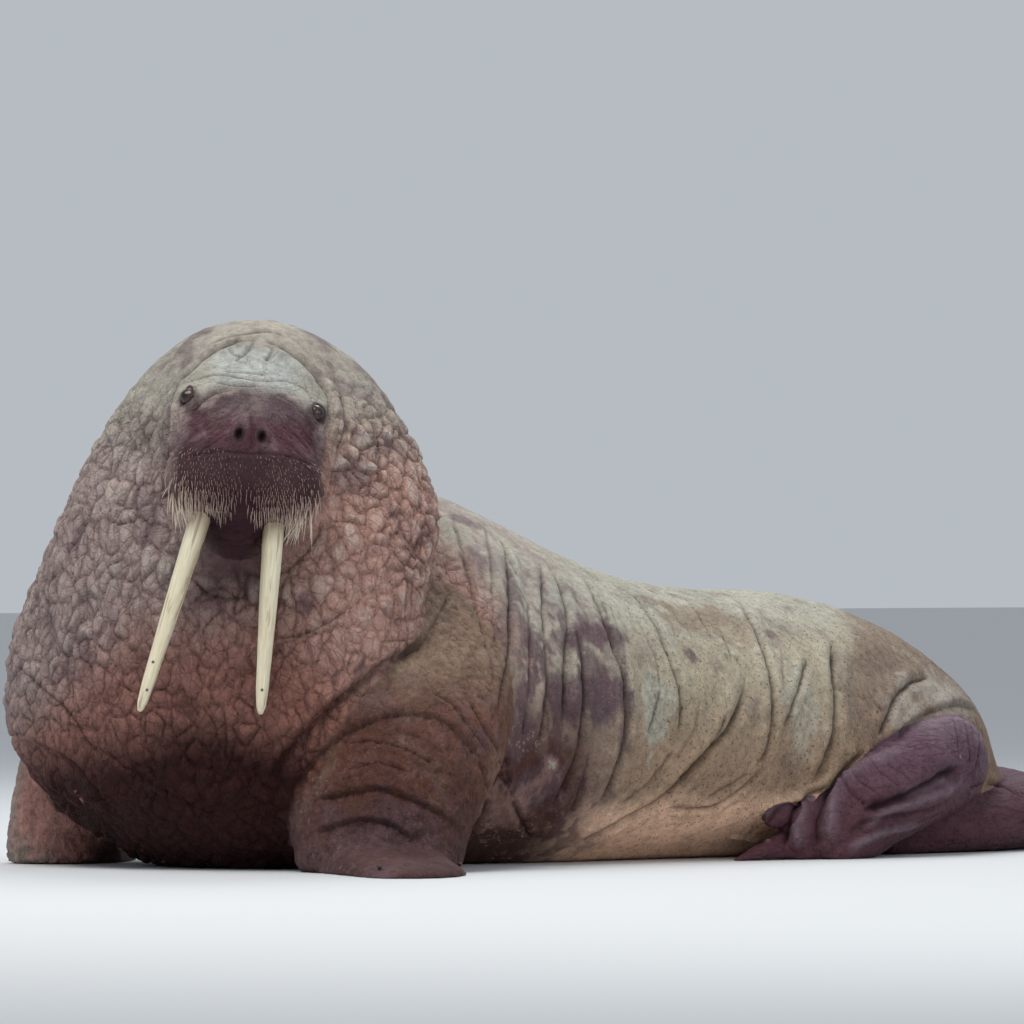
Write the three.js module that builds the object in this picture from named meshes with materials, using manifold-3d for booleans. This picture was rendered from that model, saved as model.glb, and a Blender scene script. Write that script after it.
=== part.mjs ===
import * as THREE from 'three';
import { mergeVertices } from 'three/addons/utils/BufferGeometryUtils.js';
import Module from 'manifold-3d';

// A full-grown male walrus at life size, hauled out with its front raised on the fore flippers,
// the head turned to its own left and both hind flippers folded forward on the left side.
// Millimetres, +Z up, the head towards -Y, the animal's left on +X.
// The origin is on the ground, under the flat of the belly.

// Room left between neighbouring solids
const GAP = 0.3;
const DEGREE = Math.PI / 180;

// Trunk and neck. One row a section, from the rump to the crown: centre x, y, z; pitch and yaw of
// the spine in degrees; half width; reach to the back; reach to the belly; squareness below, where
// under 1 is square and over 1 runs down to a keel
const SPINE = [
  [-10, 1176, 100, 0, 0, 78, 44, 90, 0.95],
  [-6, 1098, 140, 0, 0, 148, 94, 140, 0.9],
  [0, 1004, 182, 0, 0, 232, 170, 186, 0.88],
  [0, 890, 215, 0, 0, 325, 222, 225, 0.86],
  [0, 690, 240, 0, 0, 392, 300, 255, 0.86],
  [0, 450, 256, 0, 0, 436, 322, 275, 0.86],
  [0, 200, 264, 0, 0, 462, 326, 285, 0.86],
  [0, -60, 282, 0, 0, 478, 348, 305, 0.86],
  [0, -310, 312, 8, 0, 488, 390, 345, 0.86],
  [2, -590, 322, 20, 4, 488, 476, 362, 0.9],
  [4, -850, 372, 34, 10, 496, 536, 456, 0.9],
  [-8, -1040, 442, 47, 18, 484, 548, 412, 0.98],
  [82, -1052, 606, 57, 26, 458, 470, 344, 1.1],
  [118, -1042, 758, 62, 33, 402, 392, 312, 1],
  [122, -1026, 892, 61, 40, 332, 300, 288, 1],
  [146, -1038, 992, 56, 45, 260, 228, 226, 1],
  [158, -1056, 1062, 52, 47, 180, 148, 150, 1],
];
const SPINE_SIDES = 32;
const RINGS_PER_ROW = 2;

// Folds of skin across the flanks: place along the rows of the spine, and depth
const FLANK_FOLDS = [
  [5.36, 18],
  [6.0, 9],
  [6.4, 14],
  [7.44, 16],
  [7.95, 9],
  [8.28, 12],
  [8.7, 13],
  [9.12, 15],
];
const FOLD_HALF = 0.085;

// Where the trunk is divided, as places along the rows of the spine
const TRUNK_NODES = [
  { name: 'rump', from: 0, to: 3.4 },
  { name: 'torso_rear', from: 3.4, to: 6.2 },
  { name: 'torso_middle', from: 6.2, to: 8.6 },
  { name: 'torso_front', from: 8.6, to: 10.4 },
  { name: 'chest', from: 10.4, to: 12.6 },
  { name: 'neck', from: 12.6, to: 16 },
];

// Head: midpoint between the eyes, and how the head is held
const HEAD_AT = new THREE.Vector3(275, -1144, 966);
const HEAD_YAW = 54;
const HEAD_PITCH = 4;
const HEAD_ROLL = 7.5;
const EYE_SPREAD = 130;
const EYE_Y = -28;
const EYE_RADIUS = 19;

// Tusks: where they leave the gum, free length and outward splay of each, how far they bend back,
// depth from front to back over width, and rows of place from root to tip and half width
const TUSK_ROOT = new THREE.Vector3(70, -128, -200);
const TUSKS = [
  { side: 1, length: 440, splay: 3.4 },
  { side: -1, length: 466, splay: 10 },
];
const TUSK_BEND = 26;
const TUSK_DEPTH = 1.2;
const TUSK_HALVES = [
  [-0.17, 23],
  [0, 23.5],
  [0.2, 22.5],
  [0.45, 19.5],
  [0.7, 16],
  [0.88, 13.5],
  [0.96, 10.5],
  [1, 5],
];

// Skin colours
const BEIGE = 0x9c8a72;
const RED_BROWN = 0x7a5c50;
const DARK_PURPLE = 0x4f4147;
const GREY_GREEN = 0x8d8577;
const IVORY = 0xd9cfae;
const EYE_BROWN = 0x2a1c18;
const CLAW_BROWN = 0x3a2f2a;

const wasm = await Module();
wasm.setup();

// Catmull-Rom value of one column of rows at place t
function columnAt(rows, column, t) {
  const last = rows.length - 1;
  const i = Math.min(Math.floor(t), last - 1);
  const f = t - i;
  const p0 = rows[Math.max(i - 1, 0)][column];
  const p1 = rows[i][column];
  const p2 = rows[i + 1][column];
  const p3 = rows[Math.min(i + 2, last)][column];
  const slopeIn = (p2 - p0) / 2;
  const slopeOut = (p3 - p1) / 2;
  const f2 = f * f;
  const f3 = f2 * f;
  return (2 * f3 - 3 * f2 + 1) * p1 + (f3 - 2 * f2 + f) * slopeIn
    + (3 * f2 - 2 * f3) * p2 + (f3 - f2) * slopeOut;
}

function rowAt(rows, t) {
  return rows[0].map((_, column) => columnAt(rows, column, t));
}

// Solid through a list of rings of equal count, closed by a fan at each end
function solidOfRings(rings) {
  const sides = rings[0].length;
  const positions = [];
  for (const ring of rings) {
    for (const p of ring) {
      positions.push(p.x, p.y, p.z);
    }
  }
  const index = [];
  for (let r = 0; r < rings.length - 1; r++) {
    for (let k = 0; k < sides; k++) {
      const a = r * sides + k;
      const b = r * sides + (k + 1) % sides;
      index.push(a, b, a + sides, b, b + sides, a + sides);
    }
  }
  const ends = [[rings[0], 0, true], [rings[rings.length - 1], (rings.length - 1) * sides, false]];
  for (const [ring, start, isFirst] of ends) {
    const middle = new THREE.Vector3();
    ring.forEach((p) => middle.addScaledVector(p, 1 / sides));
    const centre = positions.length / 3;
    positions.push(middle.x, middle.y, middle.z);
    for (let k = 0; k < sides; k++) {
      const a = start + k;
      const b = start + (k + 1) % sides;
      if (isFirst) {
        index.push(centre, b, a);
      } else {
        index.push(centre, a, b);
      }
    }
  }
  return solidOfArrays(new Float32Array(positions), new Uint32Array(index));
}

// Signed volume tells which way the faces point, so that a solid always comes out facing outwards
function solidOfArrays(vertProperties, triVerts) {
  const p = (i) => new THREE.Vector3().fromArray(vertProperties, 3 * i);
  let volume = 0;
  for (let i = 0; i < triVerts.length; i += 3) {
    volume += p(triVerts[i]).dot(p(triVerts[i + 1]).cross(p(triVerts[i + 2])));
  }
  if (volume < 0) {
    triVerts = triVerts.slice().reverse();
  }
  const mesh = new wasm.Mesh({ numProp: 3, vertProperties, triVerts });
  mesh.merge();
  return new wasm.Manifold(mesh);
}

function solidOfGeometry(geometry) {
  const bare = geometry.clone();
  bare.deleteAttribute('normal');
  bare.deleteAttribute('uv');
  const merged = mergeVertices(bare, 1e-3);
  return solidOfArrays(merged.attributes.position.array, new Uint32Array(merged.index.array));
}

function joined(solids) {
  return solids.reduce((all, one) => all.add(one));
}

function without(solid, cutters) {
  return cutters.reduce((left, cutter) => left.subtract(cutter), solid);
}

// Everything below the ground plane
const GROUND_REACH = 8000;
const ground = solidOfGeometry(
  new THREE.BoxGeometry(GROUND_REACH, GROUND_REACH, 1000).translate(0, 0, -500),
);

// Place of a point of the trunk: t along the rows of the spine, angle 0 at the left side and 90 at the back
function spineFrame(t) {
  const [x, y, z, pitchDegrees, yawDegrees, half, back, belly, square] = rowAt(SPINE, t);
  const pitch = pitchDegrees * DEGREE;
  const yaw = yawDegrees * DEGREE;
  const ahead = new THREE.Vector3(Math.sin(yaw), -Math.cos(yaw), 0);
  const along = ahead.clone().multiplyScalar(Math.cos(pitch)).setZ(Math.sin(pitch));
  const up = ahead.clone().multiplyScalar(-Math.sin(pitch)).setZ(Math.cos(pitch));
  const left = new THREE.Vector3(Math.cos(yaw), Math.sin(yaw), 0);
  return { centre: new THREE.Vector3(x, y, z), along, up, left, half, back, belly, square };
}

// Depth of the flank folds at a place, deepest halfway up the side and gone along the back and belly
function foldDepth(t, angle) {
  const side = Math.cos(angle) ** 2;
  return FLANK_FOLDS.reduce((sum, [at, depth]) => {
    const away = Math.abs(t - at) / FOLD_HALF;
    return sum + depth * side * Math.max(1 - away, 0);
  }, 0);
}

function spineRing(t, shift, grow) {
  const frame = spineFrame(t);
  const ring = [];
  for (let k = 0; k < SPINE_SIDES; k++) {
    const angle = (k / SPINE_SIDES) * 2 * Math.PI;
    const c = Math.cos(angle);
    const s = Math.sin(angle);
    const power = s < 0 ? frame.square : 1;
    const inset = foldDepth(t, angle);
    const across = (frame.half + grow - inset) * Math.sign(c) * Math.abs(c) ** power;
    const reach = (s < 0 ? frame.belly : frame.back) + grow - inset;
    const high = reach * Math.sign(s) * Math.abs(s) ** power;
    ring.push(frame.centre.clone()
      .addScaledVector(frame.left, across)
      .addScaledVector(frame.up, high)
      .addScaledVector(frame.along, shift));
  }
  return ring;
}

// Rings that round off an end of the trunk: the end of a ball that goes on at the slope reached
const END_STEPS = 3;
const END_SLOPE = 45 * DEGREE;

function roundedEnd(t, sign, grow) {
  const frame = spineFrame(t);
  const radius = frame.half / Math.cos(END_SLOPE);
  const rings = [];
  for (let i = 1; i <= END_STEPS; i++) {
    const turn = END_SLOPE + (i / (END_STEPS + 0.5)) * (Math.PI / 2 - END_SLOPE);
    const shrink = Math.cos(turn) / Math.cos(END_SLOPE);
    const depth = radius * (Math.sin(turn) - Math.sin(END_SLOPE));
    rings.push(spineRing(t, 0, grow).map((p) => p.sub(frame.centre).multiplyScalar(shrink)
      .add(frame.centre).addScaledVector(frame.along, sign * depth)));
  }
  return rings;
}

// Places of the rings: evenly spread, with three more at each fold
function ringPlaces(from, to) {
  const count = Math.max(2, Math.round((to - from) * RINGS_PER_ROW));
  const even = Array.from({ length: count + 1 }, (_, i) => from + ((to - from) * i) / count);
  const folds = FLANK_FOLDS.map(([at]) => at).filter((at) => at > from && at < to);
  const nearFold = (t) => folds.some((at) => Math.abs(t - at) < 1.4 * FOLD_HALF);
  const places = even.filter((t) => t === from || t === to || !nearFold(t));
  for (const at of folds) {
    places.push(at - FOLD_HALF, at, at + FOLD_HALF);
  }
  return places.sort((a, b) => a - b);
}

function trunkSolid(from, to, grow) {
  const last = SPINE.length - 1;
  const rings = [];
  if (from === 0) {
    rings.push(...roundedEnd(0, -1, grow).reverse());
  }
  for (const t of ringPlaces(from, to)) {
    let shift = 0;
    if (t === from && from > 0) {
      shift = GAP / 2;
    }
    if (t === to && to < last) {
      shift = -GAP / 2;
    }
    rings.push(spineRing(t, shift, grow));
  }
  if (to === last) {
    rings.push(...roundedEnd(last, 1, grow));
  }
  return solidOfRings(rings);
}

// Loft along a path. One row a section: centre x, y, z; half width; half height.
// The width lies along the given side vector, or level where none is given.
function limbSolid(rows, { sides, steps, side, grow = 0 }) {
  const last = rows.length - 1;
  const count = last * steps;
  const centreAt = (t) => new THREE.Vector3(...[0, 1, 2].map((column) => columnAt(rows, column, t)));
  const rings = [];
  for (let i = 0; i <= count; i++) {
    const t = i / steps;
    const before = centreAt(Math.max(t - 0.05, 0));
    const along = centreAt(Math.min(t + 0.05, last)).sub(before).normalize();
    const level = new THREE.Vector3(0, 0, 1).cross(along);
    const up = new THREE.Vector3().crossVectors(along, side ?? level).normalize();
    const across = new THREE.Vector3().crossVectors(up, along).normalize();
    const centre = centreAt(t);
    if (i === 0) {
      centre.addScaledVector(along, -grow);
    }
    if (i === count) {
      centre.addScaledVector(along, grow);
    }
    const half = columnAt(rows, 3, t) + grow;
    const high = columnAt(rows, 4, t) + grow;
    const ring = [];
    for (let k = 0; k < sides; k++) {
      const angle = (k / sides) * 2 * Math.PI;
      ring.push(centre.clone()
        .addScaledVector(across, half * Math.cos(angle))
        .addScaledVector(up, high * Math.sin(angle)));
    }
    rings.push(ring);
  }
  return solidOfRings(rings);
}

// Fore limbs. One row a section: centre x, y, z; half width; half height
const LEFT_ARM = [
  [262, -640, 500, 150, 150],
  [325, -728, 408, 185, 180],
  [405, -820, 290, 205, 190],
  [455, -925, 160, 190, 175],
  [478, -965, 60, 184, 165],
  [486, -978, -20, 175, 155],
];
const RIGHT_ARM = [
  [-292, -880, 420, 150, 150],
  [-338, -992, 326, 150, 150],
  [-372, -1086, 224, 136, 136],
  [-384, -1132, 120, 114, 112],
  [-388, -1148, 40, 109, 108],
  [-390, -1152, -20, 107, 106],
];

function armSolid(side, grow) {
  const rows = side > 0 ? LEFT_ARM : RIGHT_ARM;
  return limbSolid(rows, {
    sides: 18,
    steps: 2,
    side: new THREE.Vector3(0.86, 0.5, 0),
    grow,
  });
}

// A flipper laid flat: palm on the ground, five digits marked by low ridges and a scalloped edge.
// Local frame: x across, y along from the wrist, z up from the palm.
// The lead is how much shorter the far digits are, the scallop how far each digit's tip stands out
// and the ridge how far its back does, each as a share of the size there.
const DIGITS = 5;
const LEAD = 0.28;
const SCALLOP = 0.035;
const RIDGE = 0.16;
const PALM_EDGE = 6;
const FLIPPER_SIDES = 20;
const FLIPPER_STEPS = 5;

function digitLead(across, longest) {
  return 1 - LEAD * (across - longest) ** 2;
}

function flatFlipper({ length, half, rootHalf, thick, tipThick, longest, grow }) {
  const top = [];
  const bottom = [];
  for (let i = 0; i <= FLIPPER_STEPS; i++) {
    const along = i / FLIPPER_STEPS;
    const topRow = [];
    const bottomRow = [];
    for (let k = 0; k <= FLIPPER_SIDES; k++) {
      const across = (k / FLIPPER_SIDES) * 2 - 1;
      const lead = digitLead(across, longest);
      const scallop = 1 + SCALLOP * Math.abs(Math.cos(across * DIGITS * Math.PI / 2)) * along;
      const width = rootHalf + (half - rootHalf) * Math.sin(Math.min(along * 1.25, 1) * Math.PI / 2);
      const body = tipThick + (thick - tipThick) * (1 - along) ** 1.4;
      const edge = Math.sqrt(Math.max(1 - Math.abs(across) ** 3, 0));
      const ridge = 1 - RIDGE * Math.cos(across * DIGITS * Math.PI) * Math.min(along * 2, 1);
      const x = across * (width + grow);
      const y = along * length * lead * scallop + grow * (along * 2 - 1);
      topRow.push(new THREE.Vector3(x, y, PALM_EDGE + grow + body * edge * ridge));
      bottomRow.push(new THREE.Vector3(x, y, -grow));
    }
    top.push(topRow);
    bottom.push(bottomRow);
  }
  return solidOfSheets(top, bottom);
}

// Closed solid between two grids of points with the same count
function solidOfSheets(top, bottom) {
  const rows = top.length;
  const columns = top[0].length;
  const lastRow = rows - 1;
  const lastColumn = columns - 1;
  const positions = [];
  for (const sheet of [top, bottom]) {
    for (const row of sheet) {
      for (const p of row) {
        positions.push(p.x, p.y, p.z);
      }
    }
  }
  const at = (sheet, i, k) => sheet * rows * columns + i * columns + k;
  const index = [];
  const quad = (a, b, c, d) => index.push(a, b, c, a, c, d);
  for (let i = 0; i < lastRow; i++) {
    for (let k = 0; k < lastColumn; k++) {
      quad(at(0, i, k), at(0, i, k + 1), at(0, i + 1, k + 1), at(0, i + 1, k));
      quad(at(1, i, k), at(1, i + 1, k), at(1, i + 1, k + 1), at(1, i, k + 1));
    }
    quad(at(0, i, 0), at(0, i + 1, 0), at(1, i + 1, 0), at(1, i, 0));
    quad(at(0, i + 1, lastColumn), at(0, i, lastColumn), at(1, i, lastColumn), at(1, i + 1, lastColumn));
  }
  for (let k = 0; k < lastColumn; k++) {
    quad(at(0, 0, k + 1), at(0, 0, k), at(1, 0, k), at(1, 0, k + 1));
    quad(at(0, lastRow, k), at(0, lastRow, k + 1), at(1, lastRow, k + 1), at(1, lastRow, k));
  }
  return solidOfArrays(new Float32Array(positions), new Uint32Array(index));
}

// Places a solid: turned about Z by heading (0 points along -Y, 90 along +X) and moved
function placed(solid, heading, x, y, z) {
  return solid.rotate([0, 0, heading - 180]).translate([x, y, z]);
}

const HAND_THICK = 80;
const HAND_TIP_THICK = 14;
const HANDS = {
  left: { at: [505, -1000], heading: 72, length: 380, half: 135, rootHalf: 125, longest: 0.35 },
  right: { at: [-390, -1098], heading: -134, length: 390, half: 118, rootHalf: 96, longest: -0.35 },
};

function handSolid(name, grow) {
  const { at, heading, ...shape } = HANDS[name];
  const blade = flatFlipper({ ...shape, thick: HAND_THICK, tipThick: HAND_TIP_THICK, grow });
  return placed(blade, heading, at[0], at[1], 0);
}

// Small blunt claws on the back of the fore flipper, one a digit, a little short of its edge
const CLAW_RADII = [5, 11, 5];
const CLAW_PLACE = 0.84;
const CLAW_HEIGHT = 23;

function clawSolids(name, grow) {
  const { at, heading, length, half, longest } = HANDS[name];
  return Array.from({ length: DIGITS }, (_, i) => {
    const across = ((i + 0.5) / DIGITS) * 2 - 1;
    const along = CLAW_PLACE * length * digitLead(across, longest);
    const [rx, ry, rz] = CLAW_RADII.map((r) => r + grow);
    const claw = ellipsoid(rx, ry, rz, across * half, along, CLAW_HEIGHT, 4);
    return placed(claw, heading, at[0], at[1], 0);
  });
}

// Hind limbs. The left foot is folded forward along the flank, heel at the back and digits ahead;
// the right foot comes round behind it from under the rump.
const LEFT_LEG = [
  [110, 655, 268, 118, 122],
  [180, 722, 256, 124, 126],
  [242, 780, 232, 112, 116],
  [286, 826, 208, 88, 96],
];
const LEFT_FOOT = [
  [292, 815, 200, 84, 94],
  [340, 750, 196, 94, 108],
  [392, 640, 180, 88, 114],
  [430, 524, 144, 76, 110],
  [454, 408, 92, 66, 94],
  [462, 328, 36, 60, 74],
  [464, 287, -14, 56, 62],
];
const LEFT_DIGITS = [
  [[418, 461, 96, 40, 66], [440, 346, 84, 44, 62], [450, 251, 46, 40, 52], [452, 203, 2, 34, 40]],
  [[430, 291, 26, 34, 34], [438, 191, 28, 32, 26], [444, 111, 18, 24, 17], [448, 31, 4, 10, 7]],
  [[418, 291, 52, 26, 26], [424, 223, 84, 22, 24], [432, 173, 92, 20, 18], [438, 139, 70, 14, 12]],
];
const RIGHT_FOOT = [
  [-60, 1060, 116, 92, 88],
  [40, 1185, 96, 98, 84],
  [170, 1160, 84, 96, 78],
  [258, 1040, 78, 88, 72],
  [306, 900, 64, 74, 60],
  [320, 780, 52, 60, 48],
  [326, 660, 40, 50, 38],
  [330, 570, 22, 34, 22],
];
const TAIL = [
  [-12, 1172, 112, 62, 30],
  [-12, 1252, 92, 50, 23],
  [-12, 1317, 66, 34, 16],
  [-12, 1354, 48, 14, 8],
];

function hindSolid(rows, grow, sides = 16) {
  return limbSolid(rows, { sides, steps: 2, grow });
}

function leftFootSolid(grow) {
  return joined([hindSolid(LEFT_FOOT, grow), ...LEFT_DIGITS.map((rows) => hindSolid(rows, grow, 8))]);
}

// Head frame: x to the animal's left, y backwards, z up, origin midway between the eyes
const headPose = new THREE.Matrix4().makeTranslation(HEAD_AT)
  .multiply(new THREE.Matrix4().makeRotationZ(HEAD_YAW * DEGREE))
  .multiply(new THREE.Matrix4().makeRotationX(-HEAD_PITCH * DEGREE))
  .multiply(new THREE.Matrix4().makeRotationY(HEAD_ROLL * DEGREE));

function inHead(geometryOrSolid) {
  return geometryOrSolid.transform(headPose.elements);
}

// Head loft. One row a section: y; middle z; half width; reach up; reach down
const HEAD_ROWS = [
  [220, -20, 186, 176, 226],
  [130, -20, 182, 168, 240],
  [50, -28, 172, 152, 246],
  [-15, -46, 155, 132, 236],
  [-70, -76, 146, 126, 200],
  [-120, -98, 134, 100, 150],
  [-165, -118, 110, 70, 100],
  [-195, -128, 74, 38, 60],
  [-206, -132, 34, 16, 26],
];
const MUZZLE_PLANE = -62;
const HEAD_BACK = 120;

// Everything between two planes square to the length of the head
function slabBetween(fromY, toY) {
  const reach = 2000;
  return solidOfGeometry(
    new THREE.BoxGeometry(reach, toY - fromY, reach).translate(0, (fromY + toY) / 2, 0),
  );
}

function headLoft(fromY, toY, grow) {
  const sides = 26;
  const steps = 2;
  const last = HEAD_ROWS.length - 1;
  const rings = [];
  for (let i = 0; i <= last * steps; i++) {
    const [y, z, half, up, down] = rowAt(HEAD_ROWS, i / steps);
    const ring = [];
    for (let k = 0; k < sides; k++) {
      const angle = (k / sides) * 2 * Math.PI;
      const s = Math.sin(angle);
      ring.push(new THREE.Vector3(
        (half + grow) * Math.cos(angle),
        y - (i === last * steps ? grow : 0),
        z + ((s > 0 ? up : down) + grow) * s,
      ));
    }
    rings.push(ring);
  }
  return solidOfRings(rings).intersect(slabBetween(fromY, toY));
}

function ellipsoid(rx, ry, rz, x, y, z, detail = 9) {
  return solidOfGeometry(
    new THREE.SphereGeometry(1, detail * 2, detail).scale(rx, ry, rz).translate(x, y, z),
  );
}

// Whisker pads, with the stiff bristles that grow from them
const PAD_AT = new THREE.Vector3(80, -128, -166);
const PAD_RADII = new THREE.Vector3(88, 84, 88);
const BRISTLE_ROWS = 5;
const BRISTLES_PER_ROW = 7;
const BRISTLE_HALF = 1.7;
const BRISTLE_TIP_HALF = 0.45;
const BRISTLE_SHORT = 14;
const BRISTLE_LONG = 88;
const BRISTLE_SUNK = 12;
const BRISTLE_BEND = 0.22;
// Degrees below level of the highest and lowest rows, and out from straight ahead of their ends
const BRISTLE_DOWN = [12, 74];
const BRISTLE_OUT = [-18, 86];

function padSolid(side, grow) {
  const [rx, ry, rz] = PAD_RADII.toArray().map((r) => r + grow);
  return ellipsoid(rx, ry, rz, side * PAD_AT.x, PAD_AT.y, PAD_AT.z);
}

// The same run of numbers between 0 and 1 each time
function seededRandom(seed) {
  let state = seed;
  return () => {
    state = (state * 16807) % 2147483647;
    return state / 2147483647;
  };
}

// Bristle of three sides, from inside the pad out along its surface normal and drooping to the tip
function bristleSolid(root, normal, length) {
  const drop = new THREE.Vector3(0, 0, -1);
  const lean = normal.clone().multiplyScalar(0.75).add(drop).normalize();
  const elbow = root.clone().addScaledVector(normal, BRISTLE_BEND * length);
  const tip = elbow.clone().addScaledVector(lean, (1 - BRISTLE_BEND) * length);
  const stations = [
    [root.clone().addScaledVector(normal, -BRISTLE_SUNK), BRISTLE_HALF],
    [elbow, BRISTLE_HALF],
    [tip, BRISTLE_TIP_HALF],
  ];
  const across = new THREE.Vector3(1, 0, 0).cross(normal).normalize();
  const other = new THREE.Vector3().crossVectors(normal, across);
  return solidOfRings(stations.map(([centre, half]) => [0, 1, 2].map((k) => {
    const angle = (k * 2 * Math.PI) / 3;
    return centre.clone().addScaledVector(across, half * Math.cos(angle))
      .addScaledVector(other, half * Math.sin(angle));
  })));
}

// Rows from the top of the pad down and round its outer side, longer towards the lower outer edge
function bristles(side) {
  const random = seededRandom(side > 0 ? 11 : 23);
  const solids = [];
  for (let r = 0; r < BRISTLE_ROWS; r++) {
    for (let k = 0; k < BRISTLES_PER_ROW; k++) {
      const row = r / (BRISTLE_ROWS - 1);
      const place = k / (BRISTLES_PER_ROW - 1);
      const down = (THREE.MathUtils.lerp(...BRISTLE_DOWN, row) + 5 * random()) * DEGREE;
      const out = (THREE.MathUtils.lerp(...BRISTLE_OUT, place) + 6 * random()) * DEGREE;
      const direction = new THREE.Vector3(
        side * Math.sin(out) * Math.cos(down),
        -Math.cos(out) * Math.cos(down),
        -Math.sin(down),
      );
      const root = direction.clone().multiply(PAD_RADII)
        .add(new THREE.Vector3(side * PAD_AT.x, PAD_AT.y, PAD_AT.z));
      const normal = direction.clone().divide(PAD_RADII).normalize();
      const share = ((row + place) / 2) ** 1.5 * (0.85 + 0.15 * random());
      const length = THREE.MathUtils.lerp(BRISTLE_SHORT, BRISTLE_LONG, share);
      solids.push(bristleSolid(root, normal, length));
    }
  }
  return solids;
}

// Chin and lower jaw, with the lower lip along its front edge
const CHIN = { radii: [78, 92, 78], y: -78, z: -238 };
const LOWER_LIP = { radii: [58, 24, 14], y: -144, z: -212 };

function jawSolid(grow) {
  const chin = ellipsoid(...CHIN.radii.map((r) => r + grow), 0, CHIN.y, CHIN.z);
  const lip = ellipsoid(...LOWER_LIP.radii.map((r) => r + grow), 0, LOWER_LIP.y, LOWER_LIP.z, 6);
  return chin.add(lip);
}

const NOSTRIL = { across: 20, y: -178, z: -66, radii: [8, 24, 15] };
const NOSE_GROOVE = { y: -208, z: -116, radii: [3.5, 12, 52] };

function nostrils() {
  const { across, y, z, radii } = NOSTRIL;
  const holes = [1, -1].map((side) => ellipsoid(...radii, side * across, y, z, 6));
  const groove = ellipsoid(...NOSE_GROOVE.radii, 0, NOSE_GROOVE.y, NOSE_GROOVE.z, 6);
  return [...holes, groove];
}

function eyeSolid(side, grow) {
  const r = EYE_RADIUS + grow;
  return ellipsoid(r, r, r, side * EYE_SPREAD, EYE_Y, 0, 6);
}

// Rim of the lids, a little taller than wide, set square to the skin round the eye
const LID_RADIUS = 20;
const LID_THICK = 6.5;
const LID_STRETCH = 1.25;
const LID_AHEAD = 9;
const EYE_FACING = new THREE.Vector3(0.87, -0.47, 0.1).normalize();

function lidSolid(side) {
  const facing = EYE_FACING.clone();
  facing.x *= side;
  const turn = new THREE.Matrix4().lookAt(facing, new THREE.Vector3(), new THREE.Vector3(0, 0, 1));
  const rim = new THREE.TorusGeometry(LID_RADIUS, LID_THICK, 6, 14);
  rim.scale(1, LID_STRETCH, 1).applyMatrix4(turn);
  rim.translate(side * EYE_SPREAD, EYE_Y, 0);
  rim.translate(...facing.multiplyScalar(LID_AHEAD));
  return solidOfGeometry(rim);
}

function tuskSolid({ side, length, splay }, grow) {
  const rows = TUSK_HALVES.map(([place, half]) => [
    side * (TUSK_ROOT.x + Math.tan(splay * DEGREE) * length * place),
    TUSK_ROOT.y + TUSK_BEND * Math.sin((Math.max(place, 0) * Math.PI) / 2) ** 2,
    TUSK_ROOT.z - length * place,
    half,
    half * TUSK_DEPTH,
  ]);
  return limbSolid(rows, { sides: 12, steps: 1, side: new THREE.Vector3(1, 0, 0), grow });
}

// Solids of the whole animal, each cut back where its neighbour goes in
const group = new THREE.Group();

function largestBody(solid) {
  const pieces = solid.decompose();
  return pieces.reduce((best, piece) => (piece.volume() > best.volume() ? piece : best));
}

function addNode(name, solid, color, roughness) {
  const { vertProperties, triVerts } = largestBody(solid).getMesh();
  const geometry = new THREE.BufferGeometry();
  geometry.setAttribute('position', new THREE.BufferAttribute(vertProperties, 3));
  geometry.setIndex(new THREE.BufferAttribute(triVerts, 1));
  const material = new THREE.MeshStandardMaterial({ color, roughness, metalness: 0 });
  const mesh = new THREE.Mesh(geometry, material);
  mesh.name = name;
  group.add(mesh);
}

const sides = [['left', 1], ['right', -1]];
const bothSides = (build) => sides.map(([, side]) => build(side));

const headGrown = inHead(headLoft(-400, HEAD_BACK + GAP, GAP));
const jawGrown = inHead(jawSolid(GAP));
const padsGrown = bothSides((side) => inHead(padSolid(side, GAP)));
const armsGrown = bothSides((side) => armSolid(side, GAP));
const handsGrown = sides.map(([name]) => handSolid(name, GAP));
const leftLegGrown = hindSolid(LEFT_LEG, GAP);
const leftFootGrown = leftFootSolid(GAP);
const tailGrown = hindSolid(TAIL, GAP, 10);
const rightFootGrown = hindSolid(RIGHT_FOOT, GAP);

for (const { name, from, to } of TRUNK_NODES) {
  const cut = [ground, headGrown, jawGrown, ...padsGrown, ...armsGrown, ...handsGrown, leftLegGrown,
    leftFootGrown, rightFootGrown, tailGrown];
  const color = from > 10 ? RED_BROWN : BEIGE;
  addNode(name, without(trunkSolid(from, to, 0), cut), color, 0.8);
}

const headFront = MUZZLE_PLANE + GAP / 2;
const headWithLids = joined([headLoft(headFront, HEAD_BACK, 0), ...bothSides(lidSolid)])
  .intersect(slabBetween(headFront, HEAD_BACK));
const eyesGrown = bothSides((side) => inHead(eyeSolid(side, GAP)));
const tusksGrown = TUSKS.map((tusk) => inHead(tuskSolid(tusk, GAP)));
addNode('head', without(inHead(headWithLids), [jawGrown, ...padsGrown, ...eyesGrown]), GREY_GREEN, 0.7);

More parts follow.
